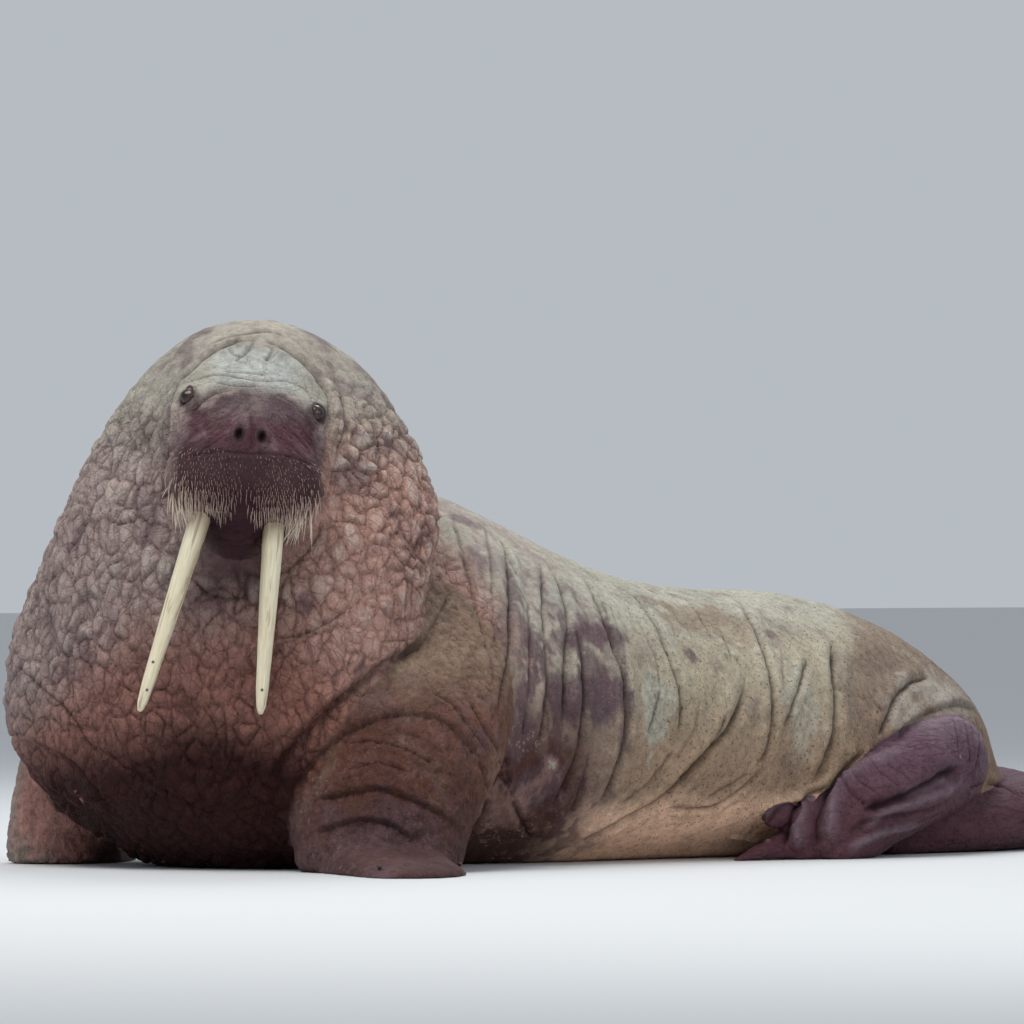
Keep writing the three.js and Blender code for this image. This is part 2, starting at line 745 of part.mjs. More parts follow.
const muzzle = without(headLoft(-400, MUZZLE_PLANE - GAP / 2, 0), nostrils());
addNode('muzzle', without(inHead(muzzle), [jawGrown, ...padsGrown]), DARK_PURPLE, 0.6);
addNode('lower_jaw', without(inHead(jawSolid(0)), [...padsGrown, ...tusksGrown]), DARK_PURPLE, 0.6);
for (const [name, side] of sides) {
  const pad = joined([padSolid(side, 0), ...bristles(side)]);
  const farHalf = new THREE.BoxGeometry(400, 800, 800).translate(-side * (200 - GAP / 2), 0, 0);
  const halfPad = inHead(pad.subtract(solidOfGeometry(farHalf)));
  addNode(`${name}_whisker_pad`, without(halfPad, tusksGrown), DARK_PURPLE, 0.6);
  addNode(`${name}_eye`, inHead(eyeSolid(side, 0)), EYE_BROWN, 0.15);
  addNode(`${name}_arm`, without(armSolid(side, 0), [ground, ...handsGrown]), RED_BROWN, 0.75);
  const claws = clawSolids(name, 0);
  addNode(`${name}_fore_flipper`, without(handSolid(name, 0), clawSolids(name, GAP)), RED_BROWN, 0.7);
  claws.forEach((claw, i) => addNode(`${name}_claw_${i + 1}`, claw, CLAW_BROWN, 0.5));
}
for (const tusk of TUSKS) {
  addNode(tusk.side > 0 ? 'left_tusk' : 'right_tusk', inHead(tuskSolid(tusk, 0)), IVORY, 0.4);
}
addNode('left_hind_leg', without(hindSolid(LEFT_LEG, 0), [ground, leftFootGrown]), DARK_PURPLE, 0.65);
addNode('left_hind_flipper', without(leftFootSolid(0), [ground]), DARK_PURPLE, 0.65);
addNode('right_hind_flipper', without(hindSolid(RIGHT_FOOT, 0), [ground, leftFootGrown, leftLegGrown]),
  DARK_PURPLE, 0.65);
addNode('tail', without(hindSolid(TAIL, 0, 10), [ground, rightFootGrown]), DARK_PURPLE, 0.7);

export default group;
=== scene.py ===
import math

import bpy
import bmesh
import numpy as np
from mathutils import Matrix, Vector
from mathutils.bvhtree import BVHTree
from mathutils.kdtree import KDTree


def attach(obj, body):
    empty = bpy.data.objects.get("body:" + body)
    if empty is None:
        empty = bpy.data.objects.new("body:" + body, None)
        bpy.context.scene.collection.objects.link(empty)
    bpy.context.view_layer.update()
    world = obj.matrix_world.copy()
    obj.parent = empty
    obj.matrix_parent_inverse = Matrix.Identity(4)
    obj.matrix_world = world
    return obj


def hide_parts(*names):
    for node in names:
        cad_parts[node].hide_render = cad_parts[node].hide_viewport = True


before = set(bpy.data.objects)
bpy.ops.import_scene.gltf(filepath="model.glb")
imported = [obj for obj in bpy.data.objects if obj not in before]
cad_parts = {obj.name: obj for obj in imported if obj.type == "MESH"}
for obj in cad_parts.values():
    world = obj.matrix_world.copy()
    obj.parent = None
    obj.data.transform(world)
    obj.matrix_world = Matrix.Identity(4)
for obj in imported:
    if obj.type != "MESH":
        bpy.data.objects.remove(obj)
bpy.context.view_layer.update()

# A full-grown male walrus, hauled out. One skin covers the flesh of the solids; the eyes, tusks,
# claws and whiskers are pieces of their own. Metres, +Z up, the head towards -Y, its left on +X.

IMAGE_SIZE = 1024
FOCAL_PIXELS = 9524
SENSOR = 36.0
CAMERA_AT = Vector((15.79, -13.456, 0.678))
CAMERA_AZIMUTH = math.radians(50)
CAMERA_PITCH = math.radians(0.1985)

HEAD_AT = Vector((0.275, -1.144, 0.966))
HEAD = (Matrix.Translation(HEAD_AT) @ Matrix.Rotation(math.radians(54), 4, "Z")
        @ Matrix.Rotation(math.radians(-4), 4, "X") @ Matrix.Rotation(math.radians(7.5), 4, "Y"))
HEAD_INVERSE = HEAD.inverted()
HEAD_TURN = HEAD.to_3x3()

FLESH = [
    "rump", "torso_rear", "torso_middle", "torso_front", "chest", "neck", "head", "muzzle",
    "lower_jaw", "left_whisker_pad", "right_whisker_pad", "left_arm", "right_arm",
    "left_fore_flipper", "right_fore_flipper", "left_hind_leg", "left_hind_flipper",
    "right_hind_flipper", "tail",
]


def camera_axes():
    ahead = Vector((-math.sin(CAMERA_AZIMUTH) * math.cos(CAMERA_PITCH),
                    math.cos(CAMERA_AZIMUTH) * math.cos(CAMERA_PITCH), math.sin(CAMERA_PITCH)))
    right = Vector((math.cos(CAMERA_AZIMUTH), math.sin(CAMERA_AZIMUTH), 0))
    return right, right.cross(ahead), ahead


RIGHT, UP, AHEAD = camera_axes()


def pixel_direction(px, py):
    half = IMAGE_SIZE / 2
    return (AHEAD * FOCAL_PIXELS + RIGHT * (px - half) - UP * (py - half)).normalized()


# numbers on whole arrays of points

def smooth(low, high, x):
    t = np.clip((x - low) / (high - low), 0, 1)
    return t * t * (3 - 2 * t)


def hash01(cell, seed):
    n = (cell[:, 0] * 374761393 + cell[:, 1] * 668265263 + cell[:, 2] * 1103515245
         + seed * 144665129) & 0xFFFFFFFF
    n = ((n ^ (n >> 13)) * 1274126177) & 0xFFFFFFFF
    n = ((n ^ (n >> 15)) * 668265263) & 0xFFFFFFFF
    return ((n ^ (n >> 16)) & 0xFFFFFF) / 0xFFFFFF


def noise(points, size, seed):
    """Smooth noise from -1 to 1, with lumps about size across."""
    p = points / size
    base = np.floor(p).astype(np.int64)
    f = p - base
    f = f * f * (3 - 2 * f)
    total = np.zeros(len(p))
    for corner in range(8):
        offset = np.array([corner & 1, (corner >> 1) & 1, (corner >> 2) & 1])
        weight = np.prod(np.where(offset, f, 1 - f), axis=1)
        total += weight * hash01(base + offset, seed)
    return total * 2 - 1


def fractal(points, size, seed, octaves=3, fade=0.5):
    total = np.zeros(len(points))
    scale, weight, norm = size, 1.0, 0.0
    for i in range(octaves):
        total += weight * noise(points, scale, seed + 17 * i)
        norm += weight
        scale *= 0.5
        weight *= fade
    return total / norm


def warp_of(points, size, seed):
    """Three noises side by side, each from -0.1 to 0.1, to bend places by."""
    return np.stack([fractal(points, size, seed + k, 2) for k in (1, 2, 3)], 1) * 0.1


def cells(points, size, seed):
    """Distances to the nearest and second nearest cell centre, in cell sizes, and a number per cell."""
    p = points / size
    base = np.floor(p).astype(np.int64)
    first = np.full(len(p), 9.0)
    second = np.full(len(p), 9.0)
    chosen = np.zeros(len(p))
    for dx in (-1, 0, 1):
        for dy in (-1, 0, 1):
            for dz in (-1, 0, 1):
                cell = base + np.array([dx, dy, dz])
                centre = cell + np.stack([hash01(cell, seed + k) for k in (1, 2, 3)], 1)
                d = np.linalg.norm(centre - p, axis=1)
                nearer = d < first
                second = np.where(nearer, first, np.minimum(second, d))
                chosen = np.where(nearer, hash01(cell, seed + 4), chosen)
                first = np.where(nearer, d, first)
    return first, second, chosen


def to_frame(points, matrix):
    m = np.array(matrix)
    return points @ m[:3, :3].T + m[:3, 3]


def linear(red, green, blue):
    return tuple(((c / 255 + 0.055) / 1.055) ** 2.4 for c in (red, green, blue))


# meshes as arrays

def mesh_from_arrays(name, points, faces):
    mesh = bpy.data.meshes.new(name)
    mesh.from_pydata([tuple(p) for p in points], [], [tuple(f) for f in faces])
    mesh.update()
    return mesh


def add_object(name, mesh):
    piece = bpy.data.objects.new(name, mesh)
    bpy.context.scene.collection.objects.link(piece)
    return piece


def points_of(mesh):
    flat = np.empty(len(mesh.vertices) * 3, np.float32)
    mesh.vertices.foreach_get("co", flat)
    return flat.reshape(-1, 3).astype(float)


def set_points(mesh, points):
    mesh.vertices.foreach_set("co", points.astype(np.float32).ravel())
    mesh.update()


def normals_of(mesh):
    flat = np.empty(len(mesh.vertices) * 3, np.float32)
    mesh.vertex_normals.foreach_get("vector", flat)
    return flat.reshape(-1, 3).astype(float)


def shade_smooth(mesh):
    mesh.polygons.foreach_set("use_smooth", np.ones(len(mesh.polygons), bool))


def edges_of(mesh):
    flat = np.empty(len(mesh.edges) * 2, np.int32)
    mesh.edges.foreach_get("vertices", flat)
    return flat.reshape(-1, 2)


def relax(points, edges, rounds, strength, weight=None):
    """Moves each row towards the mean of its neighbours, by strength times its weight."""
    count = len(points)
    a = np.concatenate([edges[:, 0], edges[:, 1]])
    b = np.concatenate([edges[:, 1], edges[:, 0]])
    valence = np.maximum(np.bincount(a, minlength=count), 1)
    share = strength if weight is None else (strength * weight)[:, None]
    for _ in range(rounds):
        total = np.stack([np.bincount(a, column[b], count) for column in points.T], 1)
        points = points + (total / valence[:, None] - points) * share
    return points


def evaluated(piece):
    depsgraph = bpy.context.evaluated_depsgraph_get()
    return bpy.data.meshes.new_from_object(piece.evaluated_get(depsgraph))


def with_modifier(mesh, kind, **settings):
    piece = add_object("shaping", mesh)
    modifier = piece.modifiers.new(kind, kind)
    for key, value in settings.items():
        setattr(modifier, key, value)
    result = evaluated(piece)
    bpy.data.objects.remove(piece)
    return result


def largest_part(mesh):
    count = len(mesh.vertices)
    edges = edges_of(mesh)
    label = np.arange(count)
    while True:
        low = np.minimum(label[edges[:, 0]], label[edges[:, 1]])
        new = label.copy()
        np.minimum.at(new, edges[:, 0], low)
        np.minimum.at(new, edges[:, 1], low)
        new = new[new]
        if np.array_equal(new, label):
            break
        label = new
    keep = np.bincount(label, minlength=count).argmax()
    if np.all(label == keep):
        return mesh
    shape = bmesh.new()
    shape.from_mesh(mesh)
    shape.verts.ensure_lookup_table()
    loose = [shape.verts[i] for i in np.nonzero(label != keep)[0]]
    bmesh.ops.delete(shape, geom=loose, context="VERTS")
    shape.to_mesh(mesh)
    shape.free()
    return mesh


def refine(mesh, chosen):
    """Splits the faces whose corners are all chosen into four."""
    shape = bmesh.new()
    shape.from_mesh(mesh)
    shape.verts.ensure_lookup_table()
    flag = chosen.tolist()
    edges = [e for e in shape.edges if flag[e.verts[0].index] and flag[e.verts[1].index]]
    bmesh.ops.subdivide_edges(shape, edges=edges, cuts=1, use_grid_fill=True)
    shape.to_mesh(mesh)
    shape.free()
    return mesh


# the skin's base: the flesh of the solids fused into one surface

FUSE_GROW = 0.0008
BASE_VOXEL = 0.009

PAD_AT = (0.080, -0.128, -0.166)
PAD_RADII = (0.088, 0.084, 0.088)


def ball(centre, radii, columns=40, rows=24):
    points = [(0, 0, 1)]
    for i in range(1, rows):
        v = math.pi * i / rows
        for k in range(columns):
            u = 2 * math.pi * k / columns
            points.append((math.sin(v) * math.cos(u), math.sin(v) * math.sin(u), math.cos(v)))
    points.append((0, 0, -1))
    faces = []
    last = len(points) - 1
    for k in range(columns):
        after = (k + 1) % columns
        faces.append((0, 1 + k, 1 + after))
        for i in range(rows - 2):
            a = 1 + i * columns
            faces.append((a + k, a + columns + k, a + columns + after, a + after))
        a = 1 + (rows - 2) * columns
        faces.append((a + after, a + k, last))
    points = np.array(points) * np.array(radii) + np.array(centre)
    return points, faces


def fused_flesh():
    points, faces = [], []
    start = 0
    for name in FLESH:
        if name.endswith("whisker_pad"):
            side = 1 if name.startswith("left") else -1
            shape, polygons = ball((side * PAD_AT[0], PAD_AT[1], PAD_AT[2]), PAD_RADII)
            shape = to_frame(shape, HEAD)
        else:
            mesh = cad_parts[name].data
            shape = points_of(mesh)
            keys = np.round(shape, 6)
            _, first, inverse = np.unique(keys, axis=0, return_index=True, return_inverse=True)
            inverse = inverse.ravel()
            polygons = [[inverse[v] for v in p.vertices] for p in mesh.polygons]
            shape = shape[first]
            whole = mesh_from_arrays("whole", shape, polygons)
            shape = shape + normals_of(whole) * FUSE_GROW
            bpy.data.meshes.remove(whole)
        points.append(shape)
        faces += [[start + v for v in polygon] for polygon in polygons]
        start += len(shape)
    mesh = mesh_from_arrays("flesh", np.concatenate(points), faces)
    mesh = with_modifier(mesh, "REMESH", mode="VOXEL", voxel_size=BASE_VOXEL)
    return largest_part(mesh)


def head_places(points):
    return to_frame(points, HEAD_INVERSE)


FACE_MIDDLE = np.array([0, -0.08, -0.10])
FACE_HALF = np.array([0.20, 0.17, 0.27])


def face_weight(points):
    """1 on the face and its front, 0 well outside it."""
    away = (head_places(points) - FACE_MIDDLE) / FACE_HALF
    return 1 - smooth(0.85, 1.1, np.sqrt(away[:, 0] ** 2 + away[:, 1] ** 2 + away[:, 2] ** 2))


KINDS = {
    "trunk": ["rump", "torso_rear", "torso_middle", "torso_front", "chest", "neck"],
    "head": ["head", "muzzle", "lower_jaw", "left_whisker_pad", "right_whisker_pad"],
    "left_arm": ["left_arm"],
    "right_arm": ["right_arm"],
    "hands": ["left_fore_flipper", "right_fore_flipper"],
    "leg": ["left_hind_leg"],
    "feet": ["left_hind_flipper", "right_hind_flipper", "tail"],
}
KIND_SMOOTHING = {
    "trunk": 1.0, "head": 0.22, "left_arm": 0.45, "right_arm": 0.45, "hands": 0.08, "leg": 0.3,
    "feet": 0.06,
}


def solids_tree():
    """All the flesh solids in one search tree, and the kind that each of its faces belongs to."""
    corners, faces, owner = [], [], []
    for number, names in enumerate(KINDS.values()):
        for name in names:
            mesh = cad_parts[name].data
            start = len(corners)
            corners += [tuple(p) for p in points_of(mesh)]
            faces += [tuple(start + v for v in p.vertices) for p in mesh.polygons]
            owner += [number] * len(mesh.polygons)
    return BVHTree.FromPolygons(corners, faces), np.array(owner)


SOLIDS, OWNER = solids_tree()


def kinds_of(points, edges, rounds):
    """A weight from 0 to 1 for each kind of flesh at each point, softened over its neighbours."""
    face = np.array([SOLIDS.find_nearest(p)[2] for p in points.tolist()])
    belongs = np.zeros((len(points), len(KINDS)))
    belongs[np.arange(len(points)), OWNER[face]] = 1
    belongs = relax(belongs, edges, rounds, 0.5)
    return {name: belongs[:, i] for i, name in enumerate(KINDS)}


# the fused surface is smoothed lightly everywhere, and much more where the flesh is calm
skin_mesh = fused_flesh()
points = points_of(skin_mesh)
edges = edges_of(skin_mesh)
kinds = kinds_of(points, edges, 4)
calm = sum(kinds[name] * KIND_SMOOTHING[name] for name in KINDS)
places = head_places(points)
under_chin = kinds["head"] * smooth(-0.235, -0.275, places[:, 2]) * (np.abs(places[:, 0]) < 0.08)
calm = np.maximum(calm, 0.8 * under_chin)
points = relax(points, edges, 3, 0.5)
points = relax(points, edges, 70, 0.6, calm)
set_points(skin_mesh, points)
skin_mesh = with_modifier(skin_mesh, "SUBSURF", levels=1, render_levels=1)

EYE_SPREAD, EYE_Y, EYE_RADIUS = 0.130, -0.028, 0.019
EYE_FACING = Vector((0.87, -0.47, 0.1)).normalized()


def eye_frames():
    """For each side: the eye's centre, where it faces, forwards along the lids and up."""
    result = []
    for side in (1, -1):
        centre = HEAD @ Vector((side * EYE_SPREAD, EYE_Y, 0))
        facing = Vector((side * EYE_FACING.x, EYE_FACING.y, EYE_FACING.z))
        facing = (HEAD_TURN @ facing).normalized()
        up = HEAD_TURN @ Vector((0, 0, 1))
        along = up.cross(facing).normalized()
        result.append((side, centre, facing, along, facing.cross(along).normalized()))
    return result


EYES = eye_frames()


def surface_tree(points, mesh):
    return BVHTree.FromPolygons([tuple(p) for p in points], [tuple(p.vertices) for p in mesh.polygons])


TREE = surface_tree(points_of(skin_mesh), skin_mesh)


def hit(px, py):
    where, _, _, _ = TREE.ray_cast(CAMERA_AT, pixel_direction(px, py))
    return where


# creases: lines on the skin, given by their places in the picture

def curve_through(points, spacing):
    """Evenly close points on a smooth curve through the given ones."""
    p = np.array(points, float)
    out = []
    for i in range(len(p) - 1):
        before, after = p[max(i - 1, 0)], p[min(i + 2, len(p) - 1)]
        steps = max(1, int(np.linalg.norm(p[i + 1] - p[i]) / spacing))
        for k in range(steps):
            t = k / steps
            out.append(0.5 * (2 * p[i] + (p[i + 1] - before) * t
                              + (2 * before - 5 * p[i] + 4 * p[i + 1] - after) * t * t
                              + (3 * p[i] - before - 3 * p[i + 1] + after) * t ** 3))
    out.append(p[-1])
    return np.array(out)


PIXEL_SPACING = 2.5
LARGEST_STEP = 0.04


def line_on_skin(pixels):
    """The points where the line of sight through each place meets the skin, split where it jumps."""
    lines, current = [], []
    for px, py in curve_through(pixels, PIXEL_SPACING):
        where = hit(px, py)
        if where is None or (current and (where - current[-1]).length > LARGEST_STEP):
            lines.append(current)
            current = []
        if where is not None:
            current.append(where)
    lines.append(current)
    return [np.array(line) for line in lines if len(line) > 2]


def mirrored(line):
    return np.array([TREE.find_nearest(Vector((-x, y, z)))[0] for x, y, z in line])


def distance_to_line(points, line):
    """Distance to the line and the place along it from 0 to 1, for points near it."""
    best = np.full(len(points), 9.0)
    place = np.zeros(len(points))
    for i in range(len(line) - 1):
        a, b = line[i], line[i + 1]
        along = b - a
        t = np.clip((points - a) @ along / max(along @ along, 1e-12), 0, 1)
        d = np.linalg.norm(points - a - t[:, None] * along, axis=1)
        nearer = d < best
        best = np.where(nearer, d, best)
        place = np.where(nearer, (i + t) / (len(line) - 1), place)
    return best, place


class Relief:
    """Heights added to the skin, the painted shade in its creases, its swells between them and its rims."""

    def __init__(self, points):
        self.points = points
        self.height = np.zeros(len(points))
        self.dark = np.zeros(len(points))
        self.ridge = np.zeros(len(points))
        self.rim = np.zeros(len(points))
        wander = np.stack([fractal(points, 0.035, seed, 3, 0.6) for seed in (21, 22, 23)], 1)
        self.wandering = points + 0.0040 * wander
        self.vary = 0.95 + 0.3 * fractal(points, 0.06, 24, 2)

    def darken(self, where, amount):
        self.dark[where] = np.maximum(self.dark[where], amount)

    def box_round(self, line, reach):
        low, high = line.min(0) - reach, line.max(0) + reach
        return np.nonzero(np.all((self.points > low) & (self.points < high), axis=1))[0]

    def crease(self, line, half, depth, swell, bank, dark, hang):
        """A groove with a bank beside it; hang raises the skin above, so that it hangs over the groove."""
        reach = max(2.8 * bank, 7 * half)
        near = self.box_round(line, reach)
        places = self.wandering[near] if half > FAINT[0] else self.points[near]
        d, place = distance_to_line(places, line)
        keep = d < reach
        near, d, place, places = near[keep], d[keep], place[keep], places[keep]
        taper = 0.14
        strength = smooth(0, taper, place) * smooth(0, taper, 1 - place) * self.vary[near]
        groove = depth * np.exp(-d / half)
        side = swell * np.exp(-((d - 0.85 * bank) / (0.75 * bank)) ** 2)
        if hang:
            line_height = np.interp(place, np.linspace(0, 1, len(line)), line[:, 2])
            above = np.where(places[:, 2] > line_height, d, -d)
            side = hang * smooth(-0.4 * half, 1.6 * half, above) * np.exp(-(above / (1.3 * bank)) ** 2)
            groove *= np.where(above < 0, 1.0, np.exp(-d / (0.5 * half)))
        self.height[near] += strength * (side - groove)
        if swell:
            self.ridge[near] = np.maximum(self.ridge[near], strength * side / swell)
        shade = np.exp(-(d / (0.7 * half)) ** 2) + 0.3 * np.exp(-(d / (2.4 * half)) ** 2)
        self.darken(near, dark * strength * np.minimum(shade, 1))

    def roll(self, line, half, height):
        """A rounded ridge along the line."""
        near = self.box_round(line, 2.5 * half)
        d, place = distance_to_line(self.points[near], line)
        share = smooth(0, 0.2, place) * smooth(0, 0.2, 1 - place) * np.exp(-(d / half) ** 2)
        self.height[near] += height * share
        self.rim[near] = np.maximum(self.rim[near], share)

    def wrinkles(self, mask, places, bend, size, seed, groove, shadow=(0.0, 1.0), octaves=3, fade=0.6):
        """Fine lines where a noise crosses zero; groove and shadow each give an amount and a width.

        The noise is read at the given places, bent by a share of a second noise of its own size and seed.
        """
        near = np.nonzero(mask)[0]
        read_at = places[near]
        if bend:
            read_at = read_at + bend[0] * warp_of(self.points[near], bend[1], bend[2])
        across = np.abs(fractal(read_at, size, seed, octaves, fade))
        self.height[near] -= groove[0] * mask[near] * (1 - smooth(0.0, groove[1], across))
        self.darken(near, shadow[0] * mask[near] * (1 - smooth(0.0, shadow[1], across)))


# each kind of crease: half width and depth of the groove, height and width of the skin's swell beside
# it, darkness of the painted shade along it, and how far the skin above hangs over it
SHELF = (0.013, 0.015, 0.0, 0.048, 0.62, 0.016)
FOLD = (0.008, 0.008, 0.0, 0.038, 0.30, 0.009)
ROLL = (0.007, 0.007, 0.0, 0.032, 0.34, 0.009)
HOLLOW = (0.013, 0.026, 0.0, 0.044, 0.85, 0.014)
DEEP = (0.0064, 0.019, 0.0085, 0.028, 0.75, 0.0)
STRONG = (0.0048, 0.013, 0.0080, 0.022, 0.70, 0.0)
MEDIUM = (0.0042, 0.0095, 0.0055, 0.017, 0.60, 0.0)
LIGHT = (0.0036, 0.0060, 0.0030, 0.012, 0.50, 0.0)
FAINT = (0.0028, 0.0034, 0.0014, 0.009, 0.42, 0.0)

FLANK_CREASES = [
    (STRONG, [(503, 538), (506, 556), (509, 580), (510, 620), (509, 655), (501, 688), (497, 722)]),
    (LIGHT, [(503, 540), (509, 560), (516, 579)]),
    (MEDIUM, [(540, 560), (542, 590), (543, 620), (546, 655), (547, 688), (542, 725), (535, 750)]),
    (STRONG, [(546, 562), (555, 580), (563, 600), (567, 622), (565, 648), (564, 680), (564, 722)]),
    (STRONG, [(568, 616), (575, 634), (580, 652), (583, 680), (582, 720), (576, 755), (560, 792),
              (548, 815)]),
    (STRONG, [(566, 562), (580, 576), (592, 594), (602, 622), (612, 650), (621, 672), (625, 705),
              (626, 732), (620, 757), (606, 792), (592, 814)]),
    (LIGHT, [(600, 604), (606, 625), (611, 648)]),
    (STRONG, [(612, 586), (628, 594), (641, 608), (657, 632), (670, 665), (679, 692), (681, 717),
              (676, 742)]),
    (DEEP, [(746, 672), (744, 686), (739, 707), (727, 730), (703, 757), (680, 781), (655, 802), (615, 823),
            (590, 836), (562, 852)]),
    (MEDIUM, [(726, 712), (712, 745), (690, 768), (664, 793)]),
    (STRONG, [(738, 598), (746, 615), (757, 638), (767, 665), (772, 697), (770, 730), (763, 757),
              (748, 770)]),
    (MEDIUM, [(808, 658), (801, 680), (792, 705), (781, 728)]),
    (FAINT, [(782, 652), (782, 682)]),
    (DEEP, [(834, 640), (834, 665), (835, 690), (835, 712), (832, 737), (827, 752), (820, 768), (808, 785)]),
    (MEDIUM, [(766, 764), (752, 778), (735, 793), (710, 807), (682, 808), (664, 805)]),
    (LIGHT, [(748, 772), (728, 786), (704, 799)]),
    (LIGHT, [(660, 690), (655, 712), (648, 735)]),
    (LIGHT, [(722, 636), (727, 648), (732, 660)]),
    (LIGHT, [(676, 748), (660, 770), (640, 790), (618, 806)]),
    (LIGHT, [(690, 605), (700, 618), (712, 640)]),
    (FAINT, [(645, 640), (655, 662), (660, 690)]),
    (FAINT, [(700, 700), (694, 730), (676, 760)]),
    (LIGHT, [(588, 760), (580, 790), (566, 820)]),
    (LIGHT, [(528, 600), (530, 650), (527, 700), (520, 740)]),
    (LIGHT, [(484, 520), (491, 560), (494, 610), (498, 650)]),
]
SHOULDER_CREASES = [
    (SHELF, [(440, 622), (424, 640), (402, 653), (380, 666), (360, 684), (335, 703), (315, 723), (297, 741),
            (283, 757), (272, 780)]),
    (FOLD, [(298, 812), (302, 785), (316, 758), (338, 738), (366, 722), (398, 714), (424, 716), (446, 723),
            (468, 742), (490, 767), (508, 785)]),
    (LIGHT, [(345, 744), (367, 740), (390, 744), (412, 752), (436, 765)]),
    (FAINT, [(396, 732), (412, 734), (430, 742), (446, 754)]),
    (FOLD, [(306, 800), (330, 797), (356, 792), (370, 789), (388, 792), (406, 798), (424, 805), (441, 815),
            (458, 827), (474, 834)]),
    (ROLL, [(312, 834), (328, 827), (342, 823), (360, 820), (380, 822), (398, 830), (415, 842)]),
    (MEDIUM, [(480, 760), (486, 785), (484, 808), (476, 825), (466, 832)]),
    (LIGHT, [(345, 770), (372, 764), (392, 766), (410, 774)]),
    (LIGHT, [(450, 590), (438, 615), (424, 640)]),
    (MEDIUM, [(470, 700), (484, 728), (500, 752), (506, 764)]),
    (LIGHT, [(430, 690), (452, 706), (470, 730), (488, 752)]),
    (LIGHT, [(498, 760), (507, 780), (512, 800)]),
    (MEDIUM, [(512, 800), (520, 820), (530, 838)]),
    (MEDIUM, [(450, 510), (459, 540), (467, 570), (476, 602), (485, 632), (492, 660), (495, 690)]),
]
NECK_CREASES = [
    (STRONG, [(262, 340), (241, 342), (221, 350), (205, 361), (192, 373), (181, 382), (175, 396), (172, 412),
              (171, 432), (170, 450), (166, 466), (163, 484), (166, 505)]),
    (STRONG, [(262, 340), (280, 347), (297, 360), (310, 373), (320, 386), (325, 399), (326, 415), (324, 432),
              (322, 452), (321, 476), (318, 500)]),
    (LIGHT, [(205, 352), (222, 343), (242, 336), (265, 332), (286, 337)]),
    (LIGHT, [(322, 520), (318, 536), (306, 553), (281, 577)]),
    (LIGHT, [(209, 532), (224, 540), (245, 541), (258, 532)]),
    (LIGHT, [(190, 578), (206, 594), (226, 599), (252, 597)]),
    (LIGHT, [(272, 637), (300, 637), (324, 625), (352, 610)]),
    (LIGHT, [(14, 664), (36, 684), (64, 709), (84, 736), (104, 760)]),
    (ROLL, [(8, 738), (40, 745), (72, 762), (96, 788), (112, 820)]),
    (LIGHT, [(104, 752), (140, 778), (182, 800), (226, 820)]),
    (LIGHT, [(340, 392), (344, 424), (336, 460), (330, 492)]),
    (LIGHT, [(374, 420), (380, 452), (378, 484)]),
]
FACE_CREASES = [
    (LIGHT, [(252, 339), (251, 348), (241, 357), (234, 362)]),
    (FAINT, [(228, 351), (236, 357), (242, 356)]),
    (LIGHT, [(268, 344), (272, 353), (266, 362)]),
    (FAINT, [(278, 352), (272, 358), (264, 360)]),
    (FAINT, [(183, 387), (196, 380), (217, 375), (240, 378), (262, 381), (283, 381), (301, 387), (316, 397)]),
    (FAINT, [(224, 372), (245, 373), (268, 375)]),
    (LIGHT, [(190, 418), (198, 407), (212, 396), (230, 390)]),
    (LIGHT, [(276, 394), (294, 404), (306, 418), (314, 434)]),
    (LIGHT, [(252, 414), (252, 430), (251, 452)]),
    (FAINT, [(228, 416), (208, 424), (190, 438), (176, 456)]),
    (FAINT, [(226, 424), (206, 436), (188, 450), (178, 462)]),
    (FAINT, [(222, 408), (204, 416), (188, 428)]),
    (FAINT, [(224, 436), (206, 448), (190, 460)]),
    (FAINT, [(284, 414), (298, 424), (310, 440), (317, 456)]),
    (FAINT, [(280, 424), (296, 436), (308, 450)]),
    (FAINT, [(278, 436), (292, 446), (304, 460)]),
    (FAINT, [(214, 382), (236, 386), (258, 386)]),
    (FAINT, [(176, 462), (200, 454), (226, 452), (250, 454), (276, 454), (300, 460), (318, 470)]),
    (LIGHT, [(180, 400), (178, 416), (180, 430)]),
    (LIGHT, [(320, 420), (322, 436), (320, 450)]),
]
HIND_CREASES = [
    (STRONG, [(930, 676), (913, 682), (900, 692), (892, 703), (885, 720), (876, 738)]),
    (ROLL, [(896, 742), (905, 728), (918, 718), (937, 709), (958, 704), (976, 710)]),
    (HOLLOW, [(862, 812), (872, 806), (887, 802), (908, 793), (928, 782), (946, 772), (964, 766)]),
    (ROLL, [(849, 834), (862, 823), (883, 817), (912, 813), (937, 805), (955, 796)]),
    (LIGHT, [(960, 716), (968, 738), (970, 762)]),
    (LIGHT, [(966, 714), (976, 735), (978, 757), (971, 776)]),
    (FAINT, [(972, 716), (982, 736), (984, 758)]),
    (FAINT, [(950, 716), (958, 738), (958, 760)]),
    (DEEP, [(866, 750), (848, 767), (834, 782), (824, 802), (819, 823), (820, 848)]),
    (STRONG, [(827, 788), (810, 792), (798, 805), (790, 820), (785, 848)]),
    (MEDIUM, [(800, 802), (784, 806), (772, 815), (764, 828)]),
    (LIGHT, [(842, 782), (854, 796), (866, 808)]),
    (FAINT, [(866, 762), (884, 776), (898, 790)]),
    (FAINT, [(886, 764), (900, 774), (910, 786)]),
    (FAINT, [(852, 776), (868, 790), (880, 802)]),
    (LIGHT, [(868, 690), (874, 702), (880, 714)]),
    (MEDIUM, [(970, 788), (988, 784), (1004, 788), (1021, 797)]),
    (FAINT, [(902, 828), (926, 820), (946, 812)]),
]

